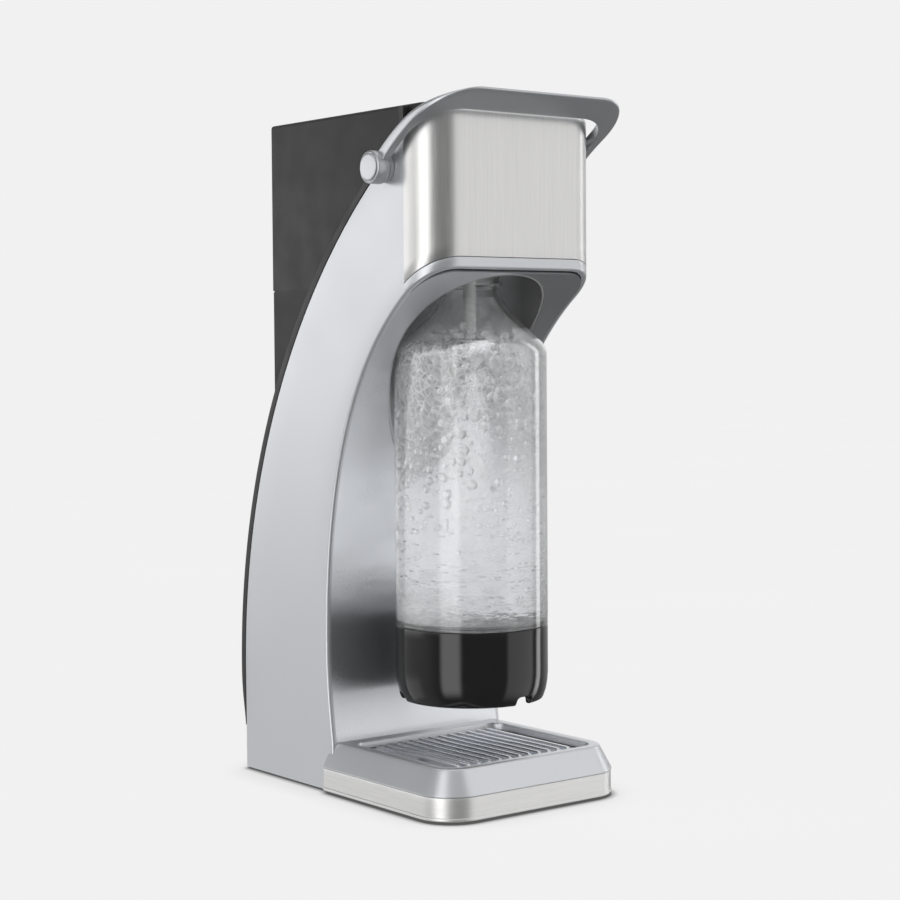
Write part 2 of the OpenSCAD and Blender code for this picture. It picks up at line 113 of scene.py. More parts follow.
def resample(p, n):
    s = np.concatenate([[0], np.cumsum(np.linalg.norm(np.diff(p, axis=0), axis=1))])
    u = np.linspace(0, s[-1], n)
    return np.stack([np.interp(u, s, p[:, k]) for k in range(p.shape[1])], 1)


def round_poly(pts, radii, seg=4):
    """Closed 2D polygon with its corners rounded; every corner gives seg + 1 points."""
    pts = np.asarray(pts, float)
    out, n = [], len(pts)
    for i in range(n):
        p, a, b = pts[i], pts[i - 1], pts[(i + 1) % n]
        va, vb = a - p, b - p
        la, lb = np.linalg.norm(va), np.linalg.norm(vb)
        va, vb = va / la, vb / lb
        ang = math.acos(float(np.clip(va @ vb, -1, 1)))
        r = radii[i]
        if r <= 0 or ang > math.pi - 0.02:
            cut = min(0.02, 0.3 * la, 0.3 * lb)
            for k in range(seg + 1):
                f = k / seg
                out.append(p + va * cut * (1 - f) * (f < 0.5) + vb * cut * f * (f >= 0.5))
            continue
        cut = min(r / math.tan(ang / 2), 0.46 * la, 0.46 * lb)
        r = cut * math.tan(ang / 2)
        mid = (va + vb) / np.linalg.norm(va + vb)
        c = p + mid * r / math.sin(ang / 2)
        s, e = p + va * cut - c, p + vb * cut - c
        a0 = math.atan2(s[1], s[0])
        da = math.atan2(e[1], e[0]) - a0
        da = (da + math.pi) % (2 * math.pi) - math.pi
        for k in range(seg + 1):
            q = a0 + da * k / seg
            out.append(c + r * np.array([math.cos(q), math.sin(q)]))
    return np.array(out)


def loft(rings, loop=False, open_ring=False, cap=(True, True)):
    """Quads between rings of equal length; ends are capped."""
    r, k = len(rings), len(rings[0])
    v = np.concatenate([np.asarray(q, float) for q in rings])
    f = []
    for i in range(r if loop else r - 1):
        a, b = i * k, ((i + 1) % r) * k
        for j in range(k - 1 if open_ring else k):
            m = (j + 1) % k
            f.append((a + j, a + m, b + m, b + j))
    if not loop and not open_ring:
        if cap[0]:
            f.append(tuple(range(k - 1, -1, -1)))
        if cap[1]:
            f.append(tuple((r - 1) * k + j for j in range(k)))
    return v, f


def spin(profile, centre, n=96, axis="z"):
    """Closed (radius, height) outline turned about an axis; points on the axis are merged."""
    p = np.asarray(profile, float)
    v, idx, f = [], [], []
    for q in p:
        if abs(q[0]) < 1e-6:
            idx.append([len(v)] * n)
            v.append((0.0, 0.0, q[1]))
        else:
            idx.append(list(range(len(v), len(v) + n)))
            v += [(q[0] * math.cos(2 * math.pi * i / n), q[0] * math.sin(2 * math.pi * i / n), q[1]) for i in range(n)]
    for i in range(len(p)):
        a, b = idx[i], idx[(i + 1) % len(p)]
        if a[0] == a[1] and b[0] == b[1]:
            continue
        for j in range(n):
            m = (j + 1) % n
            face = [a[j], a[m], b[m], b[j]]
            face = [q for k, q in enumerate(face) if q not in face[:k]]
            f.append(tuple(face))
    v = np.array(v)
    if axis == "x":
        v = np.stack([v[:, 2], v[:, 0], v[:, 1]], 1)
    return v + np.asarray(centre, float), f


def join(*parts):
    v, f, n = [], [], 0
    for a, b in parts:
        v.append(a)
        f += [tuple(i + n for i in q) for q in b]
        n += len(a)
    return np.concatenate(v), f


def thicken(v, f, nrm, t):
    """Closed shell: the sheet and a copy moved t along nrm, joined round its edges."""
    n = len(v)
    count = {}
    for q in f:
        for a, b in zip(q, q[1:] + q[:1]):
            count[(a, b)] = count.get((a, b), 0) + 1
    out = list(f) + [tuple(i + n for i in q[::-1]) for q in f]
    for a, b in count:
        if (b, a) not in count:
            out.append((b, a, a + n, b + n))
    return np.concatenate([v, v + nrm * t]), out


def plain(name, vf):
    me = bpy.data.meshes.new(name)
    v, f = vf
    me.from_pydata([tuple(q) for q in np.asarray(v) * MM], [], f)
    me.validate()
    bm = bmesh.new()
    bm.from_mesh(me)
    bmesh.ops.remove_doubles(bm, verts=bm.verts, dist=2e-6)
    bmesh.ops.dissolve_degenerate(bm, edges=bm.edges, dist=1e-6)
    bmesh.ops.recalc_face_normals(bm, faces=bm.faces)
    bm.to_mesh(me)
    bm.free()
    ob = bpy.data.objects.new(name, me)
    SC.collection.objects.link(ob)
    return ob


def bake(ob):
    dg = bpy.context.evaluated_depsgraph_get()
    me = bpy.data.meshes.new_from_object(ob.evaluated_get(dg))
    ob.modifiers.clear()
    old, ob.data = ob.data, me
    me.name = ob.name
    bpy.data.meshes.remove(old)


def boolean(ob, other, op="DIFFERENCE"):
    m = ob.modifiers.new("b", "BOOLEAN")
    m.operation, m.solver, m.object = op, "EXACT", other
    bake(ob)
    bpy.data.objects.remove(other)
    bm = bmesh.new()
    bm.from_mesh(ob.data)
    bmesh.ops.remove_doubles(bm, verts=bm.verts, dist=2e-6)
    bmesh.ops.dissolve_degenerate(bm, edges=bm.edges, dist=2e-6)
    bm.to_mesh(ob.data)
    bm.free()
    return ob


def merge(ob, other):
    """Adds the mesh of another object to this one, as it is."""
    bm = bmesh.new()
    bm.from_mesh(ob.data)
    bm.from_mesh(other.data)
    bm.to_mesh(ob.data)
    bm.free()
    bpy.data.objects.remove(other)
    return ob


def bevel(ob, width, seg=3, angle=35):
    m = ob.modifiers.new("e", "BEVEL")
    m.width, m.segments, m.limit_method, m.angle_limit = width * MM, seg, "ANGLE", math.radians(angle)
    bake(ob)
    return ob


def prism(loop, axis, lo, hi):
    """A 2D outline pushed along an axis: x takes (Y, Z), y takes (X, Z), z takes (X, Y)."""
    p = np.asarray(loop, float)
    rings = []
    for h in (lo, hi):
        c = np.full(len(p), float(h))
        rings.append(np.stack({"x": (c, p[:, 0], p[:, 1]), "y": (p[:, 0], c, p[:, 1]), "z": (p[:, 0], p[:, 1], c)}[axis], 1))
    return loft(rings)


def circle(r, cx, cy, n=48):
    a = np.arange(n) * 2 * math.pi / n
    return np.stack([cx + r * np.cos(a), cy + r * np.sin(a)], 1)


def rrect(hw, y0, y1, rf, rb, n=10, straight=6):
    """Rounded rectangle in plan, front corners rf and back corners rb, always with the same number of points."""
    out = []
    for cx, cy, r, a0 in ((-hw + rf, y0 + rf, rf, 180), (hw - rf, y0 + rf, rf, 270), (hw - rb, y1 - rb, rb, 0), (-hw + rb, y1 - rb, rb, 90)):
        out.append([(cx + r * math.cos(math.radians(a0 + 90 * i / n)), cy + r * math.sin(math.radians(a0 + 90 * i / n))) for i in range(n + 1)])
    pts = []
    for i in range(4):
        pts += out[i]
        a, b = np.array(out[i][-1]), np.array(out[(i + 1) % 4][0])
        pts += [tuple(a + (b - a) * k / straight) for k in range(1, straight)]
    return np.array(pts)


def at(loop, z):
    return np.column_stack([loop, np.full(len(loop), float(z))])


# ------------------------------------------------------------------ materials
MATS = {}


class Mat:
    """One Principled material with procedural detail in object space (metres)."""

    def __init__(self, name):
        self.m = MATS[name] = bpy.data.materials.new(name)
        self.m.use_nodes = True
        self.nt = self.m.node_tree
        self.p = self.nt.nodes["Principled BSDF"]
        self.co = self.nt.nodes.new("ShaderNodeTexCoord").outputs["Object"]
        self.normal = None

    def set(self, **kw):
        for k, v in kw.items():
            s = self.p.inputs[k.replace("_", " ")]
            s.default_value = (*v, 1.0) if isinstance(v, tuple) else v
        return self

    def noise(self, scale=(1, 1, 1), size=1000.0, detail=2.0, rough=0.5, turn=None):
        mp = self.nt.nodes.new("ShaderNodeMapping")
        mp.inputs["Scale"].default_value = scale
        if turn:
            mp.inputs["Rotation"].default_value = turn
        self.nt.links.new(self.co, mp.inputs["Vector"])
        n = self.nt.nodes.new("ShaderNodeTexNoise")
        n.inputs["Scale"].default_value = size
        n.inputs["Detail"].default_value = detail
        n.inputs["Roughness"].default_value = rough
        self.nt.links.new(mp.outputs["Vector"], n.inputs["Vector"])
        return n.outputs["Fac"]

    def cells(self, size=1000.0):
        n = self.nt.nodes.new("ShaderNodeTexVoronoi")
        n.inputs["Scale"].default_value = size
        self.nt.links.new(self.co, n.inputs["Vector"])
        return n.outputs["Color"]

    def span(self, fac, lo, hi, a=0.3, b=0.7):
        n = self.nt.nodes.new("ShaderNodeMapRange")
        n.inputs["From Min"].default_value, n.inputs["From Max"].default_value = a, b
        n.inputs["To Min"].default_value, n.inputs["To Max"].default_value = lo, hi
        self.nt.links.new(fac, n.inputs["Value"])
        return n.outputs["Result"]

    def add(self, x, y, op="ADD"):
        n = self.nt.nodes.new("ShaderNodeMath")
        n.operation = op
        for s, v in zip(n.inputs, (x, y)):
            if isinstance(v, (int, float)):
                s.default_value = v
            else:
                self.nt.links.new(v, s)
        return n.outputs[0]

    def axis(self, k):
        n = self.nt.nodes.new("ShaderNodeSeparateXYZ")
        self.nt.links.new(self.co, n.inputs[0])
        return n.outputs[k]

    def colour(self, fac, c0, c1):
        n = self.nt.nodes.new("ShaderNodeMix")
        n.data_type = "RGBA"
        self.nt.links.new(fac, n.inputs["Factor"])
        n.inputs["A"].default_value, n.inputs["B"].default_value = (*c0, 1), (*c1, 1)
        self.nt.links.new(n.outputs["Result"], self.p.inputs["Base Color"])
        return self

    def rough(self, fac):
        self.nt.links.new(fac, self.p.inputs["Roughness"])
        return self

    def bump(self, height, strength, distance):
        n = self.nt.nodes.new("ShaderNodeBump")
        n.inputs["Strength"].default_value, n.inputs["Distance"].default_value = strength, distance
        self.nt.links.new(height, n.inputs["Height"])
        if self.normal is not None:
            self.nt.links.new(self.normal, n.inputs["Normal"])
        self.normal = n.outputs["Normal"]
        self.nt.links.new(self.normal, self.p.inputs["Normal"])
        return self


def grey(v, tint=(1.0, 1.0, 1.0)):
    return tuple(v * t for t in tint)


COOL = (0.965, 0.985, 1.02)


def silver(name, v, rough, metal=0.72, flake=0.010, coat=0.12):
    m = Mat(name)
    m.set(Metallic=metal, Coat_Weight=coat, Coat_Roughness=0.25)
    fl = m.noise(size=4500, detail=2, rough=0.6)
    m.colour(m.span(fl, 0, 1), grey(v - flake, COOL), grey(v + flake, COOL))
    m.rough(m.add(m.span(m.noise(size=2600, detail=2), rough - 2 * flake, rough + 2 * flake), m.span(m.noise(size=22, detail=2), -0.02, 0.02)))
    m.bump(m.noise(size=4500, detail=1), 0.03, 0.00001)
    return m


def brushed(name, v, rough, scale, tint=(1.0, 0.995, 0.985), depth=0.05):
    m = Mat(name)
    m.set(Metallic=1.0)
    a = m.noise(scale=scale, size=1.0, detail=4, rough=0.65)
    b = m.noise(scale=tuple(s * 0.3 for s in scale), size=1.0, detail=2)
    f = m.add(m.add(a, 0.7, "MULTIPLY"), m.add(b, 0.3, "MULTIPLY"))
    m.colour(m.span(f, 0, 1, 0.35, 0.65), grey(v - depth, tint), grey(v + depth, tint))
    m.rough(m.span(a, rough - 0.07, rough + 0.07))
    m.bump(a, 0.10, 0.00005)
    return m


def plastic(name, v, rough, size=1700, grain=0.12, tint=(1.0, 1.0, 1.02), spec=0.45):
    m = Mat(name)
    m.set(Specular_IOR_Level=spec)
    g = m.noise(size=size, detail=2)
    m.colour(m.span(m.add(m.add(g, 0.5, "MULTIPLY"), m.add(m.noise(size=30, detail=3), 0.5, "MULTIPLY")), 0, 1), grey(v * 0.9, tint), grey(v * 1.1, tint))
    m.rough(m.span(m.noise(size=60, detail=3), rough - 0.05, rough + 0.05))
    m.bump(g, grain, 0.00008)
    return m


silver("silver_paint", 0.69, 0.36)
m = silver("arch_silver", 0.86, 0.30, 0.92)
# base colour darkens from 180 mm to 280 mm up the arch: painted shade under the head
m.colour(m.add(m.span(m.noise(size=4500, detail=2, rough=0.6), -0.03, 0.03), m.span(m.axis(2), 0.0, 1.0, 0.180, 0.280)), grey(0.89, COOL), grey(0.56, COOL))
silver("grille_silver", 0.96, 0.28, 0.88)
silver("tray_silver", 0.78, 0.35)
brushed("steel_cover", 0.74, 0.35, (2600, 2600, 45))
m = brushed("steel_skirt", 0.82, 0.40, (60, 60, 2600))
m.set(Metallic=0.85)
silver("lever_metal", 0.62, 0.33, 0.82, 0.005, 0.0)
plastic("charcoal", 0.032, 0.48, spec=0.30)
plastic("black_liner", 0.016, 0.42)
m = plastic("pocket_dark", 0.36, 0.42)             # darker in front, painted shade under the head; pale where its wall comes out beside the bottle, painted light
m.colour(m.add(m.span(m.noise(size=30, detail=3), -0.05, 0.05), m.span(m.axis(1), 0.0, 1.0, -0.034, -0.014)), grey(0.34), grey(0.80, COOL))
plastic("pan_grey", 0.06, 0.42)
plastic("rubber_black", 0.02, 0.7, size=900, grain=0.3)
brushed("steel_plain", 0.55, 0.34, (900, 900, 120))
plastic("steel_black", 0.05, 0.4, size=1200, grain=0.2, spec=0.5)
brushed("manifold_alloy", 0.64, 0.32, (300, 1500, 1500))
silver("cylinder_paint", 0.52, 0.38)
brushed("brass", 0.60, 0.30, (1200, 1200, 150), tint=(1.15, 0.86, 0.42))
plastic("nozzle_white", 0.72, 0.35, tint=(1.0, 1.0, 0.99))

m = Mat("gloss_black")
m.set(Coat_Weight=0.4, Coat_Roughness=0.03, Specular_IOR_Level=0.4)
m.colour(m.span(m.noise(size=40, detail=3), 0, 1), grey(0.008), grey(0.013))
m.rough(m.span(m.noise(size=120, detail=3), 0.07, 0.13))
m.bump(m.noise(size=260, detail=1), 0.03, 0.0001)

m = Mat("clear_plastic")
m.set(Transmission_Weight=0.97, IOR=1.30, Coat_Weight=1.0, Coat_Roughness=0.03)
m.colour(m.span(m.noise(size=25, detail=2), 0, 1), (0.98, 0.984, 0.988), (0.99, 0.993, 0.996))
m.rough(m.span(m.noise(size=90, detail=2), 0.01, 0.04))
m.bump(m.noise(size=70, detail=1), 0.03, 0.0003)

m = Mat("water")
m.set(Transmission_Weight=0.97, IOR=1.20)
m.colour(m.span(m.noise(size=60, detail=3), 0, 1), (0.97, 0.975, 0.98), (0.995, 0.997, 1.0))
m.rough(m.span(m.noise(size=200, detail=2), 0.0, 0.05))
m.bump(m.noise(scale=(1, 1, 1.7), size=95, detail=3, rough=0.6), 0.35, 0.004)

m = Mat("bubble")
m.set(Transmission_Weight=0.90, IOR=1.33, Coat_Weight=1.0, Coat_Roughness=0.02)
m.colour(m.span(m.noise(size=150, detail=1), 0, 1), (0.95, 0.955, 0.96), (1.0, 1.0, 1.0))
m.rough(m.span(m.noise(size=400, detail=1), 0.0, 0.05))


def cloudy(name):
    """White cloud of fine bubbles: a Principled surface mixed with a clear one; returns the mix factor's socket too."""
    m = Mat(name)
    m.set(Base_Color=(0.97, 0.975, 0.98), Specular_IOR_Level=0.1)
    m.rough(m.span(m.noise(size=300, detail=1), 0.5, 0.8))
    clear = m.nt.nodes.new("ShaderNodeBsdfTransparent")
    mix = m.nt.nodes.new("ShaderNodeMixShader")
    m.nt.links.new(clear.outputs[0], mix.inputs[1])
    m.nt.links.new(m.p.outputs[0], mix.inputs[2])
    m.nt.links.new(mix.outputs[0], m.nt.nodes["Material Output"].inputs["Surface"])
    return m, mix.inputs["Fac"]


m, fac = cloudy("fizz")
part = m.add(m.add(m.noise(scale=(1, 1, 0.5), size=110, detail=3, rough=0.6), 0.75, "MULTIPLY"), m.add(m.noise(size=900, detail=2), 0.25, "MULTIPLY"))
thin = m.span(m.axis(2), 0.0, 1.0, 0.128, 0.205)
m.nt.links.new(m.add(m.span(part, 0.03, 0.28, 0.36, 0.64), thin, "MULTIPLY"), fac)
# faint glow: painted light standing for light scattered in the foam of the jet
m.set(Emission_Color=(0.97, 0.98, 1.0), Emission_Strength=0.20)

# foam under the wall of the bottle: small cells high up on the left, flat streaks low down, drifts in between
m, fac = cloudy("foam")
height = m.axis(2)
high = m.span(height, 0.0, 1.0, 0.175, 0.235)
deep = m.span(height, 1.0, 0.0, 0.115, 0.160)
across = m.add(m.add(m.axis(0), 0.789, "MULTIPLY"), m.add(m.axis(1), -0.614, "MULTIPLY"))
left = m.span(across, 1.0, 0.35, 0.0, 0.05)
warp = m.nt.nodes.new("ShaderNodeTexNoise")
warp.inputs["Scale"].default_value = 120
m.nt.links.new(m.co, warp.inputs["Vector"])
push = m.nt.nodes.new("ShaderNodeVectorMath")
push.operation = "MULTIPLY_ADD"
m.nt.links.new(warp.outputs["Color"], push.inputs[0])
push.inputs[1].default_value = (0.008, 0.008, 0.008)
m.nt.links.new(m.co, push.inputs[2])
cell = m.nt.nodes.new("ShaderNodeTexVoronoi")
cell.feature = "DISTANCE_TO_EDGE"
cell.inputs["Scale"].default_value = 210
m.nt.links.new(push.outputs[0], cell.inputs["Vector"])
froth = m.add(high, left, "MULTIPLY")
walls = m.add(m.span(cell.outputs["Distance"], 0.40, -0.12, 0.0, 0.22), froth, "MULTIPLY")
streak = m.add(m.span(m.noise(scale=(1, 1, 3.6), size=170, detail=3), -0.10, 0.07, 0.36, 0.64), deep, "MULTIPLY")
drift = m.add(m.span(m.noise(size=32, detail=3, rough=0.55), 0.0, 0.11, 0.34, 0.66), m.add(m.span(m.noise(size=38, detail=3, rough=0.6), 0.10, 0.30, 0.34, 0.66), high, "MULTIPLY"))
curd = m.add(m.span(m.noise(size=150, detail=3, rough=0.65), -0.10, 0.16), m.span(height, 0.25, 1.0, 0.150, 0.220), "MULTIPLY")
low_white = m.add(m.span(height, 0.42, 0.0, 0.103, 0.128), m.span(across, 1.0, 0.0, 0.0, 0.05), "MULTIPLY")
total = m.add(m.add(m.add(drift, curd), low_white), m.add(walls, streak))
m.nt.links.new(m.span(total, 0.0, 0.85, 0.0, 0.85), fac)
m.bump(m.add(m.add(cell.outputs["Distance"], froth, "MULTIPLY"), m.add(m.noise(size=260, detail=2), 0.4, "MULTIPLY")), 0.45, 0.004)

# white froth floating in front of the nozzle; its faint glow is painted light
m, fac = cloudy("froth")
m.nt.links.new(m.span(m.noise(size=240, detail=3, rough=0.6), 0.30, 0.85, 0.34, 0.62), fac)
m.set(Emission_Color=(0.97, 0.98, 1.0), Emission_Strength=0.30)

# mist and drops on the shoulder of the bottle, above the water
m, fac = cloudy("mist")
m.nt.links.new(m.span(m.noise(size=160, detail=3, rough=0.6), 0.03, 0.17, 0.36, 0.64), fac)


def finish(ob, mat, body, nodes=(), smooth=32):
    ob.data.transform(Matrix.Translation((0, SHIFT * MM, 0)))
    ob.data.materials.clear()
    ob.data.materials.append(MATS[mat])
    ob.data.shade_smooth()
    ob.data.set_sharp_from_angle(angle=math.radians(smooth))
    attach(ob, body)
    if nodes:
        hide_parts(*nodes)
    return ob


# ------------------------------------------------------------------ silver side panels and their black liners
def strip(f_line, b_line, section):
    """Loft of cross-sections from a front line to a rear line, both (Y, Z)."""
    rings = []
    for p, q in zip(f_line, b_line):
        d = (q - p) / np.linalg.norm(q - p)
        rings.append(section(p, q, d))
    return loft(rings)


def panel_section(s, r1=2.0, r2=0.7, seg=6):
    def one(p, q, d):
        out = [(PX, *p)]
        for k in range(seg + 1):
            a = math.pi / 2 * k / seg
            w = p + d * r1 * (1 - math.cos(a))
            out.append((HX - r1 + r1 * math.sin(a), *w))
        a0, b0 = p + d * r1, q - d * r2
        for k in range(1, 5):
            out.append((HX, *(a0 + (b0 - a0) * k / 5)))
        for k in range(seg, -1, -1):
            a = math.pi / 2 * k / seg
            w = q - d * r2 * (1 - math.cos(a))
            out.append((HX - r2 + r2 * math.sin(a), *w))
        out.append((PX, *q))
        return [(s * x, y, z) for x, y, z in out]
    return one


def liner_plate(s):
    def one(p, q, d):
        r = 0.8
        out = [(LX, *p), (LX, *(q - d * r)), (LX + 0.25, *(q - d * 0.25)), (LX + r, *q), (PX - 0.1, *q), (PX - 0.1, *p)]
        return [(s * x, y, z) for x, y, z in out]
    return one


def liner_rim(s):
    def one(p, q, d):
        w = np.linalg.norm(q - p)
        r = min(0.9, 0.4 * w)
        out = [(PX - 0.1, *p), (HX - 0.25, *p), (HX, *(p + d * min(0.25, 0.2 * w)))]
        for k in range(5, -1, -1):
            a = math.pi / 2 * k / 5
            out.append((HX - r + r * math.sin(a), *(q - d * r * (1 - math.cos(a)))))
        out.append((PX - 0.1, *q))
        return [(s * x, y, z) for x, y, z in out]
    return one


n_sec = 97
pf = resample(clip_y(ARCH0, SEAM), n_sec)
pb = resample(rear(368.0, SEAM), n_sec)
lf = resample(clip_y(arch(2.7), -62.0), n_sec)
lb = resample(rear(373.0, -62.0, 98.9), n_sec)
rim_o = rear(373.0, SEAM, 98.9)
rim_o = resample(rim_o[rim_o[:, 1] > 26.0], n_sec)
rim_d = rim_o - np.array(ARC)
rim_i = np.where(rim_o[:, 1:] > 62.0, np.array(ARC) + rim_d / np.linalg.norm(rim_d, axis=1)[:, None] * 368.2,
                 np.column_stack([np.full(n_sec, ARC[0] + 368.2), rim_o[:, 1]]))
for s, side in ((-1, "left"), (1, "right")):
    ob = plain("panel_" + side, strip(pf, pb, panel_section(s)))
    boolean(ob, plain("c", prism(circle(6.5, *PIV), "x", s * 55, s * 70)))
    finish(ob, "silver_paint", "chassis", (side + "_side_panel",), 25)
    ob = plain("rim_" + side, strip(lf, lb, liner_plate(s)))
    boolean(ob, plain("c", prism(circle(6.5, *PIV), "x", s * 50, s * 66)))
    edge = plain("e", strip(rim_i, rim_o, liner_rim(s)))
    boolean(edge, plain("c", prism(circle(6.5, *PIV), "x", s * 50, s * 66)))
    merge(ob, edge)
    finish(ob, "black_liner", "chassis", (side + "_liner",), 25)

# ------------------------------------------------------------------ inner arch with the mouth of the bottle pocket
line = clip_y(ARCH0, FRONT + 3.1)
line = line[line[:, 1] >= 3.0]
line = resample(line, 260)
arc_s = np.concatenate([[0], np.cumsum(np.linalg.norm(np.diff(line, axis=0), axis=1))])
tang = np.gradient(line, axis=0)
nrm2 = np.stack([tang[:, 1], -tang[:, 0]], 1)
nrm2 /= np.linalg.norm(nrm2, axis=1)[:, None]     # into the body
upper = line[:, 1] > 120


def s_of_y(y):
    return np.interp(-np.asarray(y, float), -line[upper, 0], arc_s[upper])


def on_arch(x, s):
    return np.column_stack([x, np.interp(s, arc_s, line[:, 0]), np.interp(s, arc_s, line[:, 1])])


def arch_normal(s):
    n = np.column_stack([np.zeros(len(s)), np.interp(s, arc_s, nrm2[:, 0]), np.interp(s, arc_s, nrm2[:, 1])])
    return n / np.linalg.norm(n, axis=1)[:, None]


CY = -41.25
sa = float(np.interp(150.0, line[:, 1], arc_s))
bw = PX
low_x = np.linspace(-bw, bw, 41)
side_s = np.linspace(sa, float(s_of_y(SEAM)), 31)[1:-1]
cr_a = np.linspace(0, math.pi / 2, 13)
corner_x = (bw - 18.9) + 18.9 * np.cos(cr_a)
corner_y = SEAM - 18.9 * np.sin(cr_a)
front_x = np.linspace(bw - 18.9, -(bw - 18.9), 31)[1:-1]
ring = [(x, sa) for x in low_x] + [(bw, q) for q in side_s] + [(x, float(s_of_y(y))) for x, y in zip(corner_x, corner_y)]
ring += [(x, float(s_of_y(FRONT + 3.1))) for x in front_x]
ring += [(-x, float(s_of_y(y))) for x, y in zip(corner_x[::-1], corner_y[::-1])] + [(-bw, q) for q in side_s[::-1]]
ring = np.array(ring)
th = np.linspace(0, 2 * math.pi, 721)
hole = np.column_stack([45.8 * np.cos(th), s_of_y(CY + 42.8 * np.sin(th))])
mid = np.array([0.0, 0.5 * (hole[:, 1].min() + hole[:, 1].max())])
half = np.array([45.8, 0.5 * (hole[:, 1].max() - hole[:, 1].min())])
ha = np.unwrap(np.arctan2(*((hole - mid) / half).T[::-1]))
ra = np.arctan2(*((ring - mid) / half).T[::-1])
if ha[-1] < ha[0]:
    ha, hole = ha[::-1], hole[::-1]
ra = (ra - ha[0]) % (2 * math.pi) + ha[0]
inner = np.column_stack([np.interp(ra, ha, hole[:, 0]), np.interp(ra, ha, hole[:, 1])])
rows = [inner + (ring - inner) * t for t in (0, 0.03, 0.08, 0.16, 0.27, 0.4, 0.55, 0.7, 0.85, 1.0)]
v1, f1 = loft([on_arch(r[:, 0], r[:, 1]) for r in rows], cap=(False, False))
n1 = np.concatenate([arch_normal(r[:, 1]) for r in rows])
low = [np.column_stack([low_x, np.full(41, q)]) for q in np.linspace(0, sa, 46)]
v2, f2 = loft([on_arch(r[:, 0], r[:, 1]) for r in low], open_ring=True)
n2 = np.concatenate([arch_normal(r[:, 1]) for r in low])
v, f = join((v1, f1), (v2, f2))
nn = np.concatenate([n1, n2])
key, first, back = np.unique(np.round(v, 3), axis=0, return_index=True, return_inverse=True)
back = back.ravel()
f = [tuple(int(back[i]) for i in q) for q in f]
v, nn = v[first], nn[first]
bm_v = np.array([v[q[0]] for q in f])
# the two grids are wound alike: the face normal looks away from the body
def wind(q):
    a, b, c = v[q[0]], v[q[1]], v[q[2]]
    return float(np.cross(b - a, c - a) @ nn[q[0]]) < 0


f = [q if wind(q) else q[::-1] for q in f]
ob = plain("arch", thicken(v, f, nn, 2.5))
finish(ob, "arch_silver", "chassis", ("arch_liner",), 40)

th = np.arange(144) * 2 * math.pi / 144


def ell(a, b, dz, z=None):
    x, y = a * np.cos(th), CY + b * np.sin(th)
    return np.column_stack([x, y, arch_z(y) + dz if z is None else np.full(144, z)])


rings = [ell(45.75, 42.75, 2.4), ell(45.75, 42.75, 0.5), ell(45.55, 42.55, 0.15), ell(45.15, 42.15, 0.0), ell(44.75, 41.75, 0.15), ell(44.5, 41.5, 0.6)]
for k in (0.2, 0.4, 0.6, 0.8):
    e0 = ell(44.5, 41.5, 0.6)
    e0[:, 2] = e0[:, 2] + (302.0 - e0[:, 2]) * k
    rings.append(e0)
rings += [ell(44.5, 41.5, 0, 302.0), ell(44.2, 41.2, 0, 302.7), ell(43.5, 40.5, 0, 303.0)]
disc = np.column_stack([30 * np.cos(th), AX + 30 * np.sin(th), np.full(144, 303.0)])
rings += [disc, disc + (0, 0, 2.0), ell(45.75, 42.75, 0, 305.0)]
ob = plain("pocket", loft(rings, loop=True))
finish(ob, "pocket_dark", "chassis", ("bottle_pocket",), 35)


# ------------------------------------------------------------------ head: steel cover and silver trim band
def plan_path(inset, n=20, m=24):
    c = HX - CR
    r = CR - inset
    a = np.linspace(math.pi, 1.5 * math.pi, n + 1)
    left = np.column_stack([-c + r * np.cos(a), SEAM + r * np.sin(a)])
    mid_x = np.linspace(-c, c, m + 1)[1:-1]
    front = np.column_stack([mid_x, np.full(m - 1, SEAM - r)])
    return np.vstack([left, front, left[::-1] * (-1, 1)])


base = plan_path(0)
zb = arch_z(base[:, 1]) + 6.7
T, RT = 1.4, 4.0                                 # sheet thickness, rounding of the top edge
prof = [(RT, "top", 0.0)]
prof += [(RT - RT * math.cos(q), "round", RT * math.sin(q)) for q in np.linspace(math.pi / 2, 0, 9)[1:]]
prof += [(0.0, "wall", k / 12) for k in range(11, -1, -1)] + [(0.1, "foot", 0.1), (0.35, "foot", 0.0), (T, "foot", 0.0)]
prof += [(T, "wall", k / 6) for k in range(0, 6)]
prof += [(RT - (RT - T) * math.cos(q), "round", (RT - T) * math.sin(q)) for q in np.linspace(0, math.pi / 2, 9)[:-1]] + [(RT, "top", T)]
lines = []
for inset, kind, q in prof:
    z = {"top": np.full(len(base), TOP - q), "round": np.full(len(base), TOP - RT + q), "foot": zb + q,
         "wall": zb + 0.35 + (TOP - RT - zb - 0.35) * q}[kind]
    lines.append(np.column_stack([plan_path(inset), z]))
v, f = loft(lines, open_ring=True)
kn, ln = len(base), len(lines)
f.append(tuple(range(kn)))                                        # top, outside
f.append(tuple((ln - 1) * kn + i for i in range(kn - 1, -1, -1)))     # top, inside
f.append(tuple(i * kn for i in range(ln)))                            # the two edges on the seam
f.append(tuple(i * kn + kn - 1 for i in range(ln - 1, -1, -1)))
f.append((kn - 1, 0, (ln - 1) * kn, (ln - 1) * kn + kn - 1))
ob = plain("cover", (v, f))
boolean(ob, plain("c", prism([(-60.0, TOP - 17.7), (FRONT + 1.85, TOP), (FRONT + 1.85, TOP + 10), (-60.0, TOP + 10)], "x", -70, 70)))
finish(ob, "steel_cover", "chassis", ("front_cover",), 35)

rings = []
za = arch_z(base[:, 1])
sec = [(3.0, 0.0)] + [(2.0 * (1 - math.cos(math.pi / 2 * k / 6)), 2.0 - 2.0 * math.sin(math.pi / 2 * k / 6)) for k in range(6, -1, -1)]
sec += [(0.0, 4.2), (0.0, 6.1), (0.12, 6.38), (0.4, 6.5), (3.0, 6.5)]
paths = {i: plan_path(i) for i, _ in sec}
for k in range(len(base)):
    rings.append([(*paths[i][k], za[k] + dz) for i, dz in sec])
ob = plain("trim", loft(rings))
finish(ob, "silver_paint", "chassis", ("front_trim",), 25)

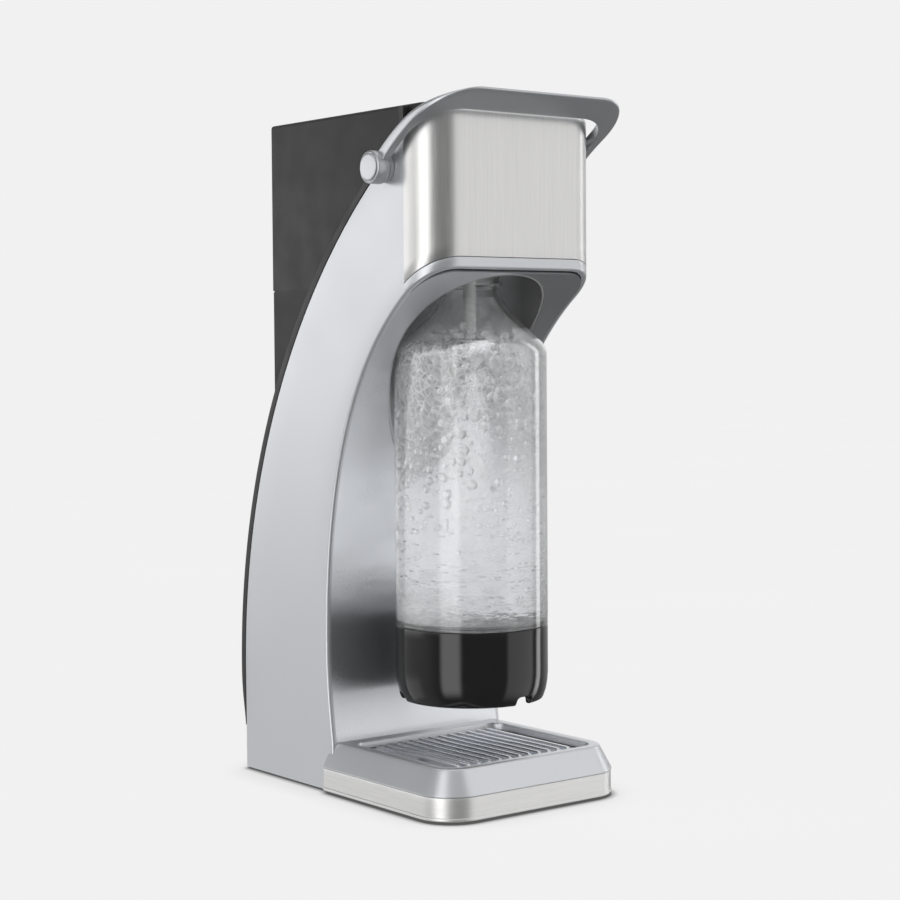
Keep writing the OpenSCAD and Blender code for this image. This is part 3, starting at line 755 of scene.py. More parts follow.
# ------------------------------------------------------------------ rear housing and its cover
CZ, HT = 290.3, 388.4
ob = plain("housing", prism([(-62.0, CZ), (78.9, CZ), (78.9, HT), (-62.0, HT)], "x", -53.0, 53.0))
bm = bmesh.new()
bm.from_mesh(ob.data)
sel = []
for e in bm.edges:
    c = (e.verts[0].co + e.verts[1].co) / 2 / MM
    top, rearward, sidew = c.z > HT - 0.5, c.y > 78, abs(c.x) > 52.5
    if (top and sidew) or (top and rearward) or (rearward and sidew):
        sel.append(e)
bmesh.ops.bevel(bm, geom=sel, offset=2.0 * MM, segments=5, profile=0.5, affect="EDGES", clamp_overlap=True)
drop = [q for q in bm.faces if abs(q.calc_center_median().z / MM - CZ) < 0.2 or abs(q.calc_center_median().y / MM + 62.0) < 0.05]
bmesh.ops.delete(bm, geom=drop, context="FACES")
bm.to_mesh(ob.data)
bm.free()
m = ob.modifiers.new("t", "SOLIDIFY")
m.thickness, m.offset, m.use_even_offset = 2.5 * MM, -1.0, True
bake(ob)
shell = ob
a3 = clip_y(arch(3.0), -62.0)
back = [(ARC[0] + 368.1 * math.cos(q), ARC[1] + 368.1 * math.sin(q)) for q in np.linspace(math.acos((76.0 - ARC[0]) / 368.1), 0, 30)]
low = bz((ARC[0] + 368.1, 62), (ARC[0] + 368.1, 44), (96.1, 34), (94.6, 24), 8, 1)
wall = np.vstack([a3, [[-62.0, CZ], [76.0, CZ]], back, low, [[94.6, 1.0]]])
boolean(shell, plain("c", prism(circle(7.0, *PIV), "x", -60, 60)))
for s in (-1, 1):
    side_wall = plain("w", prism(wall, "x", s * 50.5, s * 53.0))
    boolean(side_wall, plain("c", prism(circle(7.0, *PIV), "x", s * 45, s * 60)))
    merge(shell, side_wall)
rings = []
for o, z in ((0.25, TOP + 0.15), (0.0, TOP + 0.4), (0.27, HT - 1.0), (0.6, HT - 0.58), (1.0, HT - 0.27), (1.5, HT - 0.07), (2.0, HT)):
    cr = 13.0 - o
    q = [(-53.0 + o, -61.9), *[(-53.0 + o + cr - cr * math.cos(a), -80.0 + o + cr - cr * math.sin(a)) for a in np.linspace(0, math.pi / 2, 13)]]
    rings.append(at(np.array(q + [(-x, y) for x, y in q[::-1]]), z))
merge(shell, plain("lid", loft(rings)))
finish(shell, "charcoal", "chassis", ("rear_housing",), 30)

cv = [(78.9, 289.5), (78.9, 270.0), (78.9, 255.0)]
a1 = math.acos((78.9 - ARC[0]) / 371.0)
cv = [(78.9, z) for z in np.linspace(289.5, ARC[1] + 371 * math.sin(a1) + 3, 10)]
cv += [(ARC[0] + 371 * math.cos(q), ARC[1] + 371 * math.sin(q)) for q in np.linspace(a1, 0, 60)]
cv += [tuple(q) for q in bz((ARC[0] + 371, 62), (ARC[0] + 371, 44), (99, 34), (97.5, 24), 12, 1)] + [(97.5, 14.0), (97.5, 5.2)]
cv = np.array(cv)
tg = np.gradient(cv, axis=0)
nv = np.stack([tg[:, 1], -tg[:, 0]], 1)
nv /= np.linalg.norm(nv, axis=1)[:, None]
nv *= np.where(nv[:, :1] < 0, 1, -1)            # inwards: to the front
w, r = 52.7, 2.2
sec = [(-w + 0.3, 2.5), (-w, 2.3)] + [(-w + r - r * math.cos(math.pi / 2 * k / 6), r - r * math.sin(math.pi / 2 * k / 6)) for k in range(1, 7)]
sec += [(x, 0.0) for x in np.linspace(-w + r, w - r, 14)[1:-1]]
sec += [(-x, o) for x, o in sec[:8][::-1]]
rings = [[(x, *(p + n * o)) for x, o in sec] for p, n in zip(cv, nv)]
ob = plain("back_cover", loft(rings))
finish(ob, "charcoal", "rear_cover", ("rear_cover",), 30)


# ------------------------------------------------------------------ drip tray
def u_path(inset, n=14, m=20, k=24):
    """Plan line of the tray skirt: left side, front, right side."""
    hw, fr, r = 66.1 - inset, -103.9 + inset, 22.0 - inset
    left = [(-hw, y) for y in np.linspace(10.25, fr + r, m)][:-1]
    corner = [(-hw + r - r * math.cos(a), fr + r - r * math.sin(a)) for a in np.linspace(0, math.pi / 2, n + 1)]
    front = [(x, fr) for x in np.linspace(-hw + r, hw - r, k)][1:-1]
    q = left + corner
    return np.array(q + front + [(-x, y) for x, y in q[::-1]])


sec = [(1.5, 1.5), (0.5, 1.5), (0.15, 1.65), (0.0, 2.0), (0.0, 2.8), (0.12, 3.15), (0.4, 3.45), (0.4, 3.7), (0.4, 5.0), (0.4, 10.0), (0.4, 13.6), (0.45, 14.05), (0.62, 14.35), (0.95, 14.5), (1.5, 14.5)]
paths = {i: u_path(i) for i, _ in sec}
rings = [[(*paths[i][k], z) for i, z in sec] for k in range(len(paths[0.0]))]
ob = plain("skirt", loft(rings))
finish(ob, "steel_skirt", "chassis", ("tray_skirt",), 25)


def tray_ring(inset, z, back=10.25):
    return at(rrect(66.1 - inset, -103.9 + inset, back, 22.0 - inset, 0.05), z)


def well_ring(o, z):
    return at(rrect(52.5 + o, -90.7 - o, -0.9 + o, 8.0 + o, 8.0 + o), z)


rings = [tray_ring(1.7, 3.6), tray_ring(1.7, 14.2), tray_ring(1.2, 14.55), tray_ring(0.35, 14.65), tray_ring(0.05, 14.95), tray_ring(0.0, 15.3)]
rings += [tray_ring(0.25 + 6.4 * t, 15.8 + 12.1 * t) for t in (0.0, 0.2, 0.4, 0.6, 0.8, 1.0)]
rings += [tray_ring(6.95, 28.4), tray_ring(7.35, 28.75), tray_ring(7.9, 28.95), tray_ring(8.5, 29.0)]
rings += [well_ring(1.4, 29.0), well_ring(0.8, 28.9), well_ring(0.3, 28.6), well_ring(0.0, 28.0), well_ring(0.0, 20.0), well_ring(0.0, 3.6)]
ob = plain("frame", loft(rings, loop=True))
boolean(ob, plain("c", prism([(-62.4, 5.9), (62.4, 5.9), (62.4, 40), (-62.4, 40)], "z", -5, 60)))
finish(ob, "tray_silver", "chassis", ("tray_frame",), 28)

GM = -45.8
rings = []
for hw, z in ((0.25, 22.4), (0.0, 22.65), (0.0, 24.3), (0.15, 24.75), (0.6, 25.0)):
    rings.append(at(rrect(50.1 - hw, -88.3 + hw, -3.3 - hw, 5.6 - hw, 5.6 - hw), z))
ob = plain("grille", loft(rings))
slots = []
for i in range(13):
    x = (i - 6) * 7.2
    half_slot = [(x + 1.75 * math.cos(a), GM + 36 + 1.75 * math.sin(a)) for a in np.linspace(0, math.pi, 13)]
    half_slot += [(x + 1.75 * math.cos(a), GM - 36 + 1.75 * math.sin(a)) for a in np.linspace(math.pi, 2 * math.pi, 13)]
    slots.append(prism(half_slot, "z", 15, 35))
boolean(ob, plain("c", join(*slots)))
boolean(ob, plain("c", join(*[prism(circle(6.0, s * 50.4, GM, 40), "z", 15, 35) for s in (-1, 1)])))
bevel(ob, 0.45, 2, 50)
for i in range(12):                              # raised ribs between the slots
    x, rings = (i - 5.5) * 7.2, []
    for y, k in ((-39.4, 0.12), (-38.2, 0.6), (-36.5, 1.0), (36.5, 1.0), (38.2, 0.6), (39.4, 0.12)):
        rings.append([(x + a, GM + y, 24.6 + (b + 0.4) * k if b > 0 else 24.6) for a, b in ((-1.5, 0), (-1.4, 2.3), (-1.0, 2.75), (-0.4, 2.9), (0.4, 2.9), (1.0, 2.75), (1.4, 2.3), (1.5, 0))])
    merge(ob, plain("rib", loft(rings)))
finish(ob, "grille_silver", "grille", ("drip_grille",), 35)


def pan_ring(o, z):
    return at(rrect(52 - o, -90.2 + o, -1.4 - o, 7.5 - o, 7.5 - o), z)


rings = [pan_ring(1.2, 4.0), pan_ring(0.4, 4.3), pan_ring(0.0, 5.2), pan_ring(0.0, 24.5), pan_ring(0.15, 24.85), pan_ring(0.5, 25.0), pan_ring(1.1, 25.0),
         pan_ring(1.4, 24.7), pan_ring(1.5, 22.0), pan_ring(2.6, 22.0), pan_ring(2.9, 21.4), pan_ring(3.4, 8.0), pan_ring(4.2, 6.4), pan_ring(6.0, 5.6)]
ob = plain("pan", loft(rings))
finish(ob, "pan_grey", "pan", ("drip_pan",), 35)

# ------------------------------------------------------------------ lever
def lev_z(y):
    """Underside of the lever at depth y."""
    d = PIV[0] - y
    return PIV[1] - 4.8 + 1.08 * d - 0.0113 * d * d + 0.000079 * d ** 3


def lev_t(y):
    return np.maximum(1.6, 10.2 - 0.15 * (PIV[0] - y))


def lev_section(i, o, r=1.25, n=9, m=5):
    """Rounded section of the lever over the plan line from i (inside) to o (outside)."""
    i, o = np.array(i, float), np.array(o, float)
    w = np.linalg.norm(o - i)
    e = (o - i) / w

    def half(x):
        p = i + e * x
        t = float(lev_t(p[1]))
        tall = max(t, min(9.0, HT + 2.4 - float(lev_z(i[1]))))
        t = t + (tall - t) * max(0.0, 1 - x / w)
        return float(lev_z(p[1])) + t / 2, t / 2

    out = []

    def put(x, sign, k):
        mid_z, h = half(x)
        rz = min(r, 0.96 * h)
        out.append((*(i + e * x), mid_z + sign * (h - rz + rz * k)))

    arc = np.linspace(0, math.pi / 2, m)
    for x in np.linspace(r, w - r, n)[:-1]:
        put(x, -1, 1.0)
    for q in arc[::-1]:
        put(w - r + r * math.cos(q), -1, math.sin(q))
    for q in arc:
        put(w - r + r * math.cos(q), 1, math.sin(q))
    for x in np.linspace(w - r, r, n)[1:-1]:
        put(x, 1, 1.0)
    for q in arc[::-1]:
        put(r - r * math.cos(q), 1, math.sin(q))
    for q in arc[:-1]:
        put(r - r * math.cos(q), -1, math.sin(q))
    return out


pairs = []
for t in np.linspace(0, 1, 15):
    y0 = PIV[0] + 2.0
    pairs.append(((-65.2, y0 + (-74.3 - y0) * t), (-70.0, y0 + (-80.45 - y0) * t)))
for q in np.linspace(0, math.pi / 2, 25)[1:]:
    pairs.append(((-40.5 - 24.7 * math.cos(q), -74.3 - 21.3 * math.sin(q)), (-42.5 - 27.5 * math.cos(q), -80.45 - 32.0 * math.sin(q))))
for t in np.linspace(0, 1, 12)[1:]:
    pairs.append(((-40.5 + 40.5 * t, -95.6), (-42.5 + 42.5 * t, -112.45)))
pairs += [((-i[0], i[1]), (-o[0], o[1])) for i, o in pairs[:-1][::-1]]
bail = plain("bail", loft([lev_section(i, o) for i, o in pairs]))
for s in (-1, 1):
    prof = [(0, 65.2), (7.6, 65.2), (8.5, 65.35), (9.0, 66.0), (9.0, 72.5), (8.8, 73.05), (8.35, 73.35), (7.95, 73.4), (7.8, 73.1), (0, 73.1)]
    v, f = spin(prof, (0, 0, 0), 64, "x")
    v[:, 0] *= s
    boolean(bail, plain("c", (v + (0, PIV[0], PIV[1]), f)), "UNION")
boolean(bail, plain("c", prism(circle(4.05, *PIV), "x", -72.9, 72.9)))
finish(bail, "lever_metal", "lever", ("lever",), 35)
caps = []
for s in (-1, 1):
    prof = [(0, 73.0), (7.5, 73.0), (7.5, 73.7), (7.3, 74.0), (6.9, 74.15), (6.2, 74.2), (0, 74.2)]
    v, f = spin(prof, (0, 0, 0), 64, "x")
    v[:, 0] *= s
    caps.append((v + (0, PIV[0], PIV[1]), f))
ob = plain("caps", join(*caps))
finish(ob, "lever_metal", "lever", ("pivot_caps",), 35)
bushes = []
for s in (-1, 1):
    prof = [(4.06, 53.2), (6.4, 53.2), (6.4, 62.15), (7.7, 62.15), (8.2, 62.5), (8.2, 64.4), (8.0, 64.8), (7.6, 64.95), (4.06, 64.95)]
    v, f = spin(prof, (0, 0, 0), 64, "x")
    v[:, 0] *= s
    bushes.append((v + (0, PIV[0], PIV[1]), f))
ob = plain("bushes", join(*bushes))
finish(ob, "lever_metal", "chassis", ("pivot_bushes",), 35)

# ------------------------------------------------------------------ bottle, cup, nozzle
out = [(0, 64.0), (20, 64.0)] + [tuple(q) for q in bz((34, 64), (39.5, 64), (41.6, 66), (41.6, 72), 8)]
out += [(41.6, 98.75), (43.2, 98.75), (43.5, 99.0), (43.5, 99.8), (43.35, 100.4), (43.4, 101.2)] + [(43.5, z) for z in np.linspace(103, 248, 30)]
out += [tuple(q) for q in bz((43.5, 252), (43.5, 263), (20, 272), (17, 288), 26)]
out += [(17, 289.6), (17.5, 290.1), (18.4, 290.4), (18.6, 290.8), (18.6, 292.0), (18.4, 292.4), (17.4, 292.8), (17, 293.4), (17, 308.6), (16.6, 309), (13.4, 309), (13, 308.6)]
ins = [tuple(q) for q in bz((42.1, 251.5), (42.1, 262), (17.5, 271), (13, 287), 26)][::-1]
ins += [(42.1, z) for z in np.linspace(246, 103, 20)] + [(42.1, 100.5), (40.2, 99.5), (40.2, 73), (39.6, 70), (37, 66.5), (34, 65.5), (0, 65.4)]
ob = plain("bottle_wall", spin(out + ins, (0, AX, 0), 128))
finish(ob, "clear_plastic", "bottle", ("bottle",), 40)

cup = [(0, 62.0), (34, 62.0), (35.6, 61.7), (36.2, 60.8), (36.9, 56.6), (37.5, 56.1), (38.2, 56.0), (39.4, 56.0), (40.3, 56.4), (41.0, 57.6), (42.3, 61.5), (43.1, 66.0), (43.5, 71.0)]
cup += [(43.5, z) for z in (76, 82, 88, 93, 97.4)] + [(43.4, 98.1), (43.0, 98.5), (42.4, 98.6), (41.75, 98.6), (41.75, 72)]
cup += [tuple(q) for q in bz((36.1, 63.9), (40.1, 63.9), (41.7, 65.9), (41.7, 71.9), 8)[::-1]] + [(0, 63.9)]
ob = plain("base_cup", spin(cup, (0, AX, 0), 128))
notch = []
for a in (277, 157, 37):
    c, s_ = math.cos(math.radians(a)), math.sin(math.radians(a))
    lp = round_poly([(-6, 50), (6, 50), (6, 61), (-6, 61)], [0, 0, 2.5, 2.5], 5)
    ra_ = []
    for rr in (35.5, 48.0):
        ra_.append([(rr * c - p * s_, AX + rr * s_ + p * c, q) for p, q in lp])
    notch.append(loft(ra_))
boolean(ob, plain("c", join(*notch)))
bevel(ob, 0.5, 3, 40)
finish(ob, "gloss_black", "bottle", ("bottle_base_cup",), 35)

prof = [(1.5, 249), (2.4, 249), (2.7, 249.2), (3.7, 252), (3.7, 262), (3.9, 262.4), (3.9, 263.4), (3.7, 263.8), (3.7, 316.9), (1.5, 316.9)]
ob = plain("nozzle", spin(prof, (0, AX, 0), 48))
finish(ob, "nozzle_white", "bottle_head", ("nozzle_tube",), 35)

# ------------------------------------------------------------------ contents of the bottle: water, bubbles, gas jet
WL = 259.0
shoulder = bz((42.35, 251.6), (42.35, 262.2), (17.75, 271.2), (13.2, 287), 60)
shoulder = shoulder[shoulder[:, 1] < WL]
prof = [(0, 65.2), (34.1, 65.3), (37.2, 66.3), (39.8, 69.9), (40.4, 73.0), (40.4, 99.3), (42.2, 100.3)] + [(42.35, z) for z in np.linspace(103, 250, 44)]
prof += [tuple(q) for q in shoulder] + [(shoulder[-1, 0] - 0.6, WL + 0.25), (shoulder[-1, 0] - 2.5, WL - 0.3), (20, WL - 0.5), (4.6, WL - 0.4), (4.2, WL), (4.2, 248.0), (0, 247.5)]
ob = plain("water", spin(prof, (0, AX, 0), 112))
finish(ob, "water", "bottle", (), 50)


def balls(items, sub):
    """One mesh of many small round or flattened bodies: (centre, radii, turn about Z)."""
    bm = bmesh.new()
    bmesh.ops.create_icosphere(bm, subdivisions=sub, radius=1.0)
    bv = np.array([q.co[:] for q in bm.verts])
    bf = [tuple(q.index for q in p.verts) for p in bm.faces]
    bm.free()
    vs, fs = [], []
    for c, rad, ang in items:
        q = bv * np.asarray(rad)
        ca_, sb_ = math.cos(ang), math.sin(ang)
        q = np.column_stack([q[:, 0] * ca_ - q[:, 1] * sb_, q[:, 0] * sb_ + q[:, 1] * ca_, q[:, 2]]) + np.asarray(c)
        n = len(vs) * len(bv)
        vs.append(q)
        fs += [tuple(i + n for i in t) for t in bf]
    return np.concatenate(vs), fs


def room(z):
    """Free radius of the water at height z."""
    return 41.2 if z < 250 else float(np.interp(z, shoulder[:, 1], shoulder[:, 0])) - 0.9


def scatter(count, z_of, r_of, size_of, flat_of, taken, gap=0.9, turn=None):
    out, tries = [], 0
    while len(out) < count and tries < count * 40:
        tries += 1
        z = z_of()
        a = RNG.uniform(0, 2 * math.pi) if turn is None else turn()
        size = size_of(z, a)
        rad = room(z) - size - 0.3
        rr = rad * r_of()
        c = np.array([rr * math.cos(a), AX + rr * math.sin(a), z])
        if z + size > WL - 0.8 or z - size < 104 or rr < 4.6 + size and z > 243:
            continue
        if any(np.sum((c - t) ** 2) < (gap * (size + s)) ** 2 for t, s in taken):
            continue
        taken.append((c, size))
        fl = flat_of(z)
        out.append((c, (size * fl[0], size, size * fl[1]), a + math.pi / 2))
    return out


taken = []
# foam: big bubbles crowd under the water line and down the left of the bottle
big = scatter(170, lambda: 257 - abs(RNG.normal(0, 16)), lambda: math.sqrt(RNG.uniform(0.74, 1.0)), lambda z, a: RNG.uniform(1.8, 4.2), lambda z: (1.0, RNG.uniform(0.85, 1.0)), taken)
big += scatter(130, lambda: 252 - abs(RNG.normal(0, 38)), lambda: math.sqrt(RNG.uniform(0.8, 1.0)), lambda z, a: RNG.uniform(1.2, 3.0), lambda z: (1.0, RNG.uniform(0.85, 1.0)), taken,
               turn=lambda: math.radians(RNG.normal(188, 38)))
ob = plain("bubbles_large", balls(big, 3))
finish(ob, "bubble", "bottle", (), 80)
small = scatter(420, lambda: RNG.uniform(150, 256), lambda: math.sqrt(RNG.uniform(0.6, 1.0)), lambda z, a: RNG.uniform(0.6, 1.4), lambda z: (RNG.uniform(0.9, 1.3), RNG.uniform(0.8, 1.0)), taken)
small += scatter(400, lambda: 105 + abs(RNG.normal(0, 34)), lambda: math.sqrt(RNG.uniform(0.86, 1.0)), lambda z, a: RNG.uniform(0.5, 1.3), lambda z: (RNG.uniform(1.6, 3.8), RNG.uniform(0.4, 0.7)), taken)
ob = plain("bubbles_small", balls(small, 2))
finish(ob, "bubble", "bottle", (), 80)

# domes standing on the water
domes = []
for a, rr, size in ((268, 15, 8.4), (212, 20, 4.4), (232, 22, 2.6), (191, 27, 4.6), (300, 24, 3.6), (318, 21, 2.6), (250, 25, 2.4), (330, 12, 4.2), (150, 16, 4.0), (120, 20, 5.2), (60, 18, 4.4), (30, 23, 3.2),
                    (176, 26, 3.6), (203, 26.5, 2.6), (163, 24, 3.2), (285, 26, 2.8), (311, 26, 3.4), (322, 26.5, 2.4), (222, 27, 2.2), (340, 25, 3.0)):
    q = math.radians(a)
    dome = [(0.0, size)] + [(size * math.sin(t), size * math.cos(t)) for t in np.linspace(0.12, math.pi / 2, 12)] + [(size - 0.5, 0.0)]
    dome += [((size - 0.5) * math.sin(t), (size - 0.5) * math.cos(t)) for t in np.linspace(math.pi / 2, 0.12, 12)[1:]] + [(0.0, size - 0.5)]
    domes.append(spin(dome, (rr * math.cos(q), AX + rr * math.sin(q), WL - 0.45), 32))
wall_in = bz((42.1, 251.5), (42.1, 262), (17.5, 271), (13, 287), 40)
cling, held = [], []
while len(cling) < 64:
    size = RNG.uniform(0.8, 2.5)
    z = WL + 0.6 + abs(RNG.normal(0, 3.6))
    q = math.radians(RNG.normal(186, 30) if RNG.uniform() < 0.66 else RNG.normal(306, 15))
    rr = float(np.interp(z + size * 0.8, wall_in[:, 1], wall_in[:, 0])) - size - 0.8
    c = np.array([rr * math.cos(q), AX + rr * math.sin(q), z])
    if z > WL + 13 or any(np.sum((c - t) ** 2) < (0.82 * (size + k)) ** 2 for t, k in held):
        held.append((c + 900.0, 0.0))
        if len(held) > 3000:
            break
        continue
    held.append((c, size))
    cling.append((c, (size, size, size), q))
domes.append(balls(cling, 3))
ob = plain("bubbles_top", join(*domes))
finish(ob, "bubble", "bottle", (), 60)

# cloud of fine foam just inside the wall, and mist on the shoulder
prof = [(0, 101.2), (37.6, 101.2), (40.5, 101.8), (41.1, 104.0), (41.1, 108.0)] + [(41.1, z) for z in np.linspace(112, 247, 60)] + [(40.8, 251.0), (39.8, 254.2), (37.4, 256.7), (33.6, 257.7), (20, 258.1), (0, 258.1)]
ob = plain("foam", spin(prof, (0, AX, 0), 112))
finish(ob, "foam", "bottle", (), 60)
wall_in = wall_in[(wall_in[:, 1] > WL + 1.0) & (wall_in[:, 1] < 284)]
prof = [(r - 0.25, z) for r, z in wall_in] + [(r - 0.6, z) for r, z in wall_in[::-1]]
ob = plain("mist", spin(prof, (0, AX, 0), 112))
finish(ob, "mist", "bottle", (), 60)

# plume of gas under the nozzle: thin cloudy skins, one inside the other, glowing faintly with painted light
skins = []
zs = np.linspace(0, 1, 34)
for k in range(7):
    grow = 0.30 + 0.70 * (k + 1) / 7
    ph = RNG.uniform(0, 2 * math.pi, 6)
    rings = []
    for t in zs:
        z = 244.0 - (88.0 + 26.0 * k / 6) * t
        w = (1.6 + 15.5 * t ** 0.62) * grow * math.sqrt(max(1.0 - t ** 5, 0.004))
        cx, cy = 2.2 * math.sin(2.1 * t + 0.4) - 7.0 * t, AX + 1.5 * math.sin(3.0 * t) - 3.0 * t
        ring = []
        for j in range(28):
            q = 2 * math.pi * j / 28
            wob = 1 + 0.10 * math.sin(3 * q + 9 * t + ph[0]) + 0.07 * math.sin(5 * q - 14 * t + ph[1]) + 0.08 * math.sin(2 * q + 23 * t + ph[2]) + 0.05 * math.sin(31 * t + ph[3])
            ring.append((cx + w * wob * math.cos(q), cy + w * wob * math.sin(q), z))
        rings.append(ring)
    skins.append(loft(rings))
ob = plain("gas_jet", join(*skins))
finish(ob, "fizz", "bottle", (), 80)
# raft of froth under the surface, in front of the nozzle, glowing faintly with painted light
ob = plain("froth", balls([((-17.3, AX - 23.6, 254.6), (11.0, 4.0, 2.2), math.radians(-37.9)), ((-12.3, AX - 24.6, 256.0), (8.0, 4.0, 1.6), math.radians(-37.9))], 3))
finish(ob, "froth", "bottle", (), 80)

# ------------------------------------------------------------------ CAD pieces that are shown as they are
slots_of = {p["node"]: p["material_slot"] for p in frame["record"]["subparts"]}
hidden = {"left_side_panel", "right_side_panel", "left_liner", "right_liner", "arch_liner", "bottle_pocket", "front_cover", "front_trim", "rear_housing", "rear_cover",
          "tray_skirt", "tray_frame", "drip_grille", "drip_pan", "lever", "pivot_caps", "pivot_bushes", "bottle", "bottle_base_cup", "nozzle_tube"}
for name, ob in NODE.items():
    if name in hidden:
        continue
    ob.data.materials.clear()
    ob.data.materials.append(MATS[slots_of[name]])
    if name in ("base_plate", "head_frame", "feet", "cylinder_cradle", "carbonating_head", "gas_manifold", "mechanism_frame", "rocker_arm", "lever_crank"):
        w = ob.modifiers.new("weld", "WELD")
        w.merge_threshold = 1e-6
        d = ob.modifiers.new("flat", "DECIMATE")
        d.decimate_type, d.angle_limit = "DISSOLVE", math.radians(0.5)
        b = ob.modifiers.new("edge", "BEVEL")
        b.width, b.segments, b.limit_method, b.angle_limit = 0.4 * MM, 2, "ANGLE", math.radians(40)

# springs: welded, smooth-shaded copies of their CAD meshes, fixed to the chassis
for name, joint, z, keep in (("valve_spring", "valve_press", 358.0, 0.43), ("relief_spring", "relief_lift", 370.0, 0.83), ("return_spring", "rocker_tilt", 379.0, 0.40)):
    ob = bpy.data.objects.new("coil_" + name, NODE[name].data.copy())
    SC.collection.objects.link(ob)
    bm = bmesh.new()
    bm.from_mesh(ob.data)
    bmesh.ops.remove_doubles(bm, verts=bm.verts, dist=1e-6)
    bm.to_mesh(ob.data)
    bm.free()
    ob.data.shade_smooth()
    ob.data.set_sharp_from_angle(angle=math.radians(70))
    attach(ob, "chassis")
    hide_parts(name)
    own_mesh(ob)

# ------------------------------------------------------------------ stage, light, camera
me = bpy.data.meshes.new("floor")
me.from_pydata([(-9, -9, 0), (9, -9, 0), (9, 9, 0), (-9, 9, 0)], [], [(0, 1, 2, 3)])
floor = bpy.data.objects.new("floor", me)
SC.collection.objects.link(floor)
floor.visible_glossy = False             # metals see the studio's lights only
fm = Mat("floor")
fm.set(Base_Color=(0.0, 0.0, 0.0), Roughness=1.0, Specular_IOR_Level=0.0, Emission_Color=(1.0, 1.0, 1.0))
# the floor glows instead of being lit; ambient occlusion darkens its glow under and round the machine: painted contact
# shadow
ao = fm.nt.nodes.new("ShaderNodeAmbientOcclusion")
ao.inputs["Distance"].default_value = 0.035
way = fm.nt.nodes.new("ShaderNodeLightPath").outputs
shade = fm.span(ao.outputs["AO"], 0.55, 0.88, 0.0, 0.9)
near = fm.nt.nodes.new("ShaderNodeAmbientOcclusion")
near.inputs["Distance"].default_value = 0.006
shade = fm.add(shade, fm.span(near.outputs["AO"], 0.16, 1.0, 0.45, 0.95), "MULTIPLY")
paper = fm.add(fm.span(fm.noise(size=3, detail=2), -0.004, 0.004), shade)
glow = fm.add(fm.add(fm.add(paper, 0.62, "SUBTRACT"), way["Is Camera Ray"], "MULTIPLY"), fm.add(way["Is Transmission Ray"], 0.66, "MULTIPLY"))
glow = fm.add(glow, 0.62)
fm.nt.links.new(glow, fm.p.inputs["Emission Strength"])
me.materials.append(MATS["floor"])

world = bpy.data.worlds.new("studio")
SC.world = world
world.use_nodes = True
wn = world.node_tree


def wm(op, x, y=0.0):
    n = wn.nodes.new("ShaderNodeMath")
    n.operation = op
    for s, v in zip(n.inputs, (x, y)):
        if isinstance(v, (int, float)):
            s.default_value = v
        else:
            wn.links.new(v, s)
    return n.outputs[0]


def ramp(x, a, b, lo, hi):
    n = wn.nodes.new("ShaderNodeMapRange")
    n.interpolation_type = "SMOOTHSTEP"
    for k, v in (("From Min", a), ("From Max", b), ("To Min", lo), ("To Max", hi)):
        n.inputs[k].default_value = v
    wn.links.new(x, n.inputs["Value"])
    return n.outputs["Result"]


def window(x, lo, hi, soft):
    return wm("MULTIPLY", ramp(x, lo - soft, lo + soft, 0, 1), ramp(x, hi - soft, hi + soft, 1, 0))


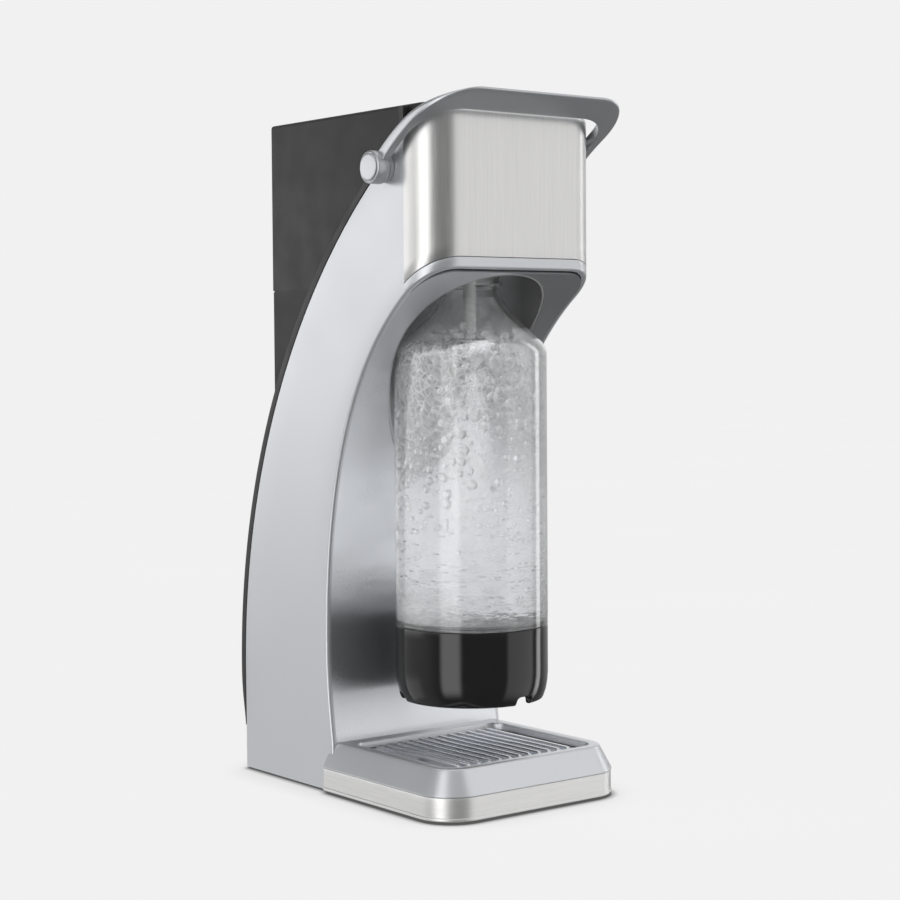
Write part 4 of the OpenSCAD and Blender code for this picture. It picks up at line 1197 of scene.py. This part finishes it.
way = wn.nodes.new("ShaderNodeSeparateXYZ")
wn.links.new(wn.nodes.new("ShaderNodeTexCoord").outputs["Generated"], way.inputs[0])
deg = 180 / math.pi
AZ = wm("MULTIPLY", wm("ARCTAN2", wm("MULTIPLY", way.outputs[0], -1.0), wm("MULTIPLY", way.outputs[1], -1.0)), deg)   # degrees to the left of -Y
EL = wm("MULTIPLY", wm("ARCSINE", way.outputs[2]), deg)
studio = wm("ADD", 0.14, ramp(EL, 35, 75, 0.0, 0.75))                                              # dim room, light from above
boxes = [
    # azimuth from, to, softness, elevation from, to, softness, brightness
    (56, 86, 5, -30, 42, 10, 1.95),      # tall softbox, front left
    (-66, -17, 4, -34, 48, 12, 0.78),    # wide softbox, front right
    (-87, -76, 3, -25, 40, 10, 2.2),     # strip, right
    (118, 178, 10, -3, 11, 6, 1.35),   # low wide softbox, behind left
    (100, 180, 14, -50, 12, 8, 0.22),   # its spill
    (124, 178, 8, -32, -12, 3, 0.36),    # low bounce card, behind left
    (-178, -112, 10, 3, 24, 5, 0.42),    # low card, behind right
    (-180, -95, 14, -8, 60, 16, 0.42),   # fill, behind right
    (-22, 58, 8, 2, 50, 7, 0.16),        # fill, front
    (86, 124, 6, 2, 22, 6, 0.95),        # panel, left
]
for a0, a1, sa0, e0, e1, se0, glow in boxes:
    studio = wm("ADD", studio, wm("MULTIPLY", wm("MULTIPLY", window(AZ, a0, a1, sa0), window(EL, e0, e1, se0)), glow))
lp = wn.nodes.new("ShaderNodeLightPath").outputs
paper = wm("ADD", wm("MULTIPLY", lp["Is Camera Ray"], 0.88), wm("MULTIPLY", lp["Is Transmission Ray"], wm("MAXIMUM", studio, wm("ADD", 0.88, wm("MULTIPLY", window(AZ, -85, 115, 25), 0.60)))))
lit = wm("MULTIPLY", studio, wm("SUBTRACT", 1.0, wm("MAXIMUM", lp["Is Camera Ray"], lp["Is Transmission Ray"])))
bg = wn.nodes["Background"]
bg.inputs["Color"].default_value = (1.0, 1.0, 1.0, 1)
wn.links.new(wm("ADD", paper, lit), bg.inputs["Strength"])

cam = bpy.data.cameras.new("camera")
cam.sensor_width, cam.lens, cam.sensor_fit = 36.0, 80.85, "HORIZONTAL"
cam.clip_start, cam.clip_end = 0.05, 60
co = bpy.data.objects.new("camera", cam)
SC.collection.objects.link(co)
yaw, pitch, roll = (math.radians(q) for q in (37.88, 2.95, -0.39))
fw = Vector((math.sin(yaw) * math.cos(pitch), math.cos(yaw) * math.cos(pitch), -math.sin(pitch)))
rt = Vector((math.cos(yaw), -math.sin(yaw), 0))
upv = rt.cross(fw)
r2 = rt * math.cos(roll) + upv * math.sin(roll)
u2 = upv * math.cos(roll) - rt * math.sin(roll)
co.matrix_world = Matrix(((r2.x, u2.x, -fw.x, -0.7152), (r2.y, u2.y, -fw.y, -0.94515 + SHIFT * MM), (r2.z, u2.z, -fw.z, 0.2568), (0, 0, 0, 1)))
SC.camera = co
SC.view_settings.view_transform = "Standard"
SC.view_settings.look = "None"
SC.cycles.max_bounces = 20
SC.cycles.sample_clamp_indirect = 3.0
SC.cycles.transmission_bounces = 16
SC.cycles.transparent_max_bounces = 40
SC.cycles.glossy_bounces = 6
SC.cycles.diffuse_bounces = 4
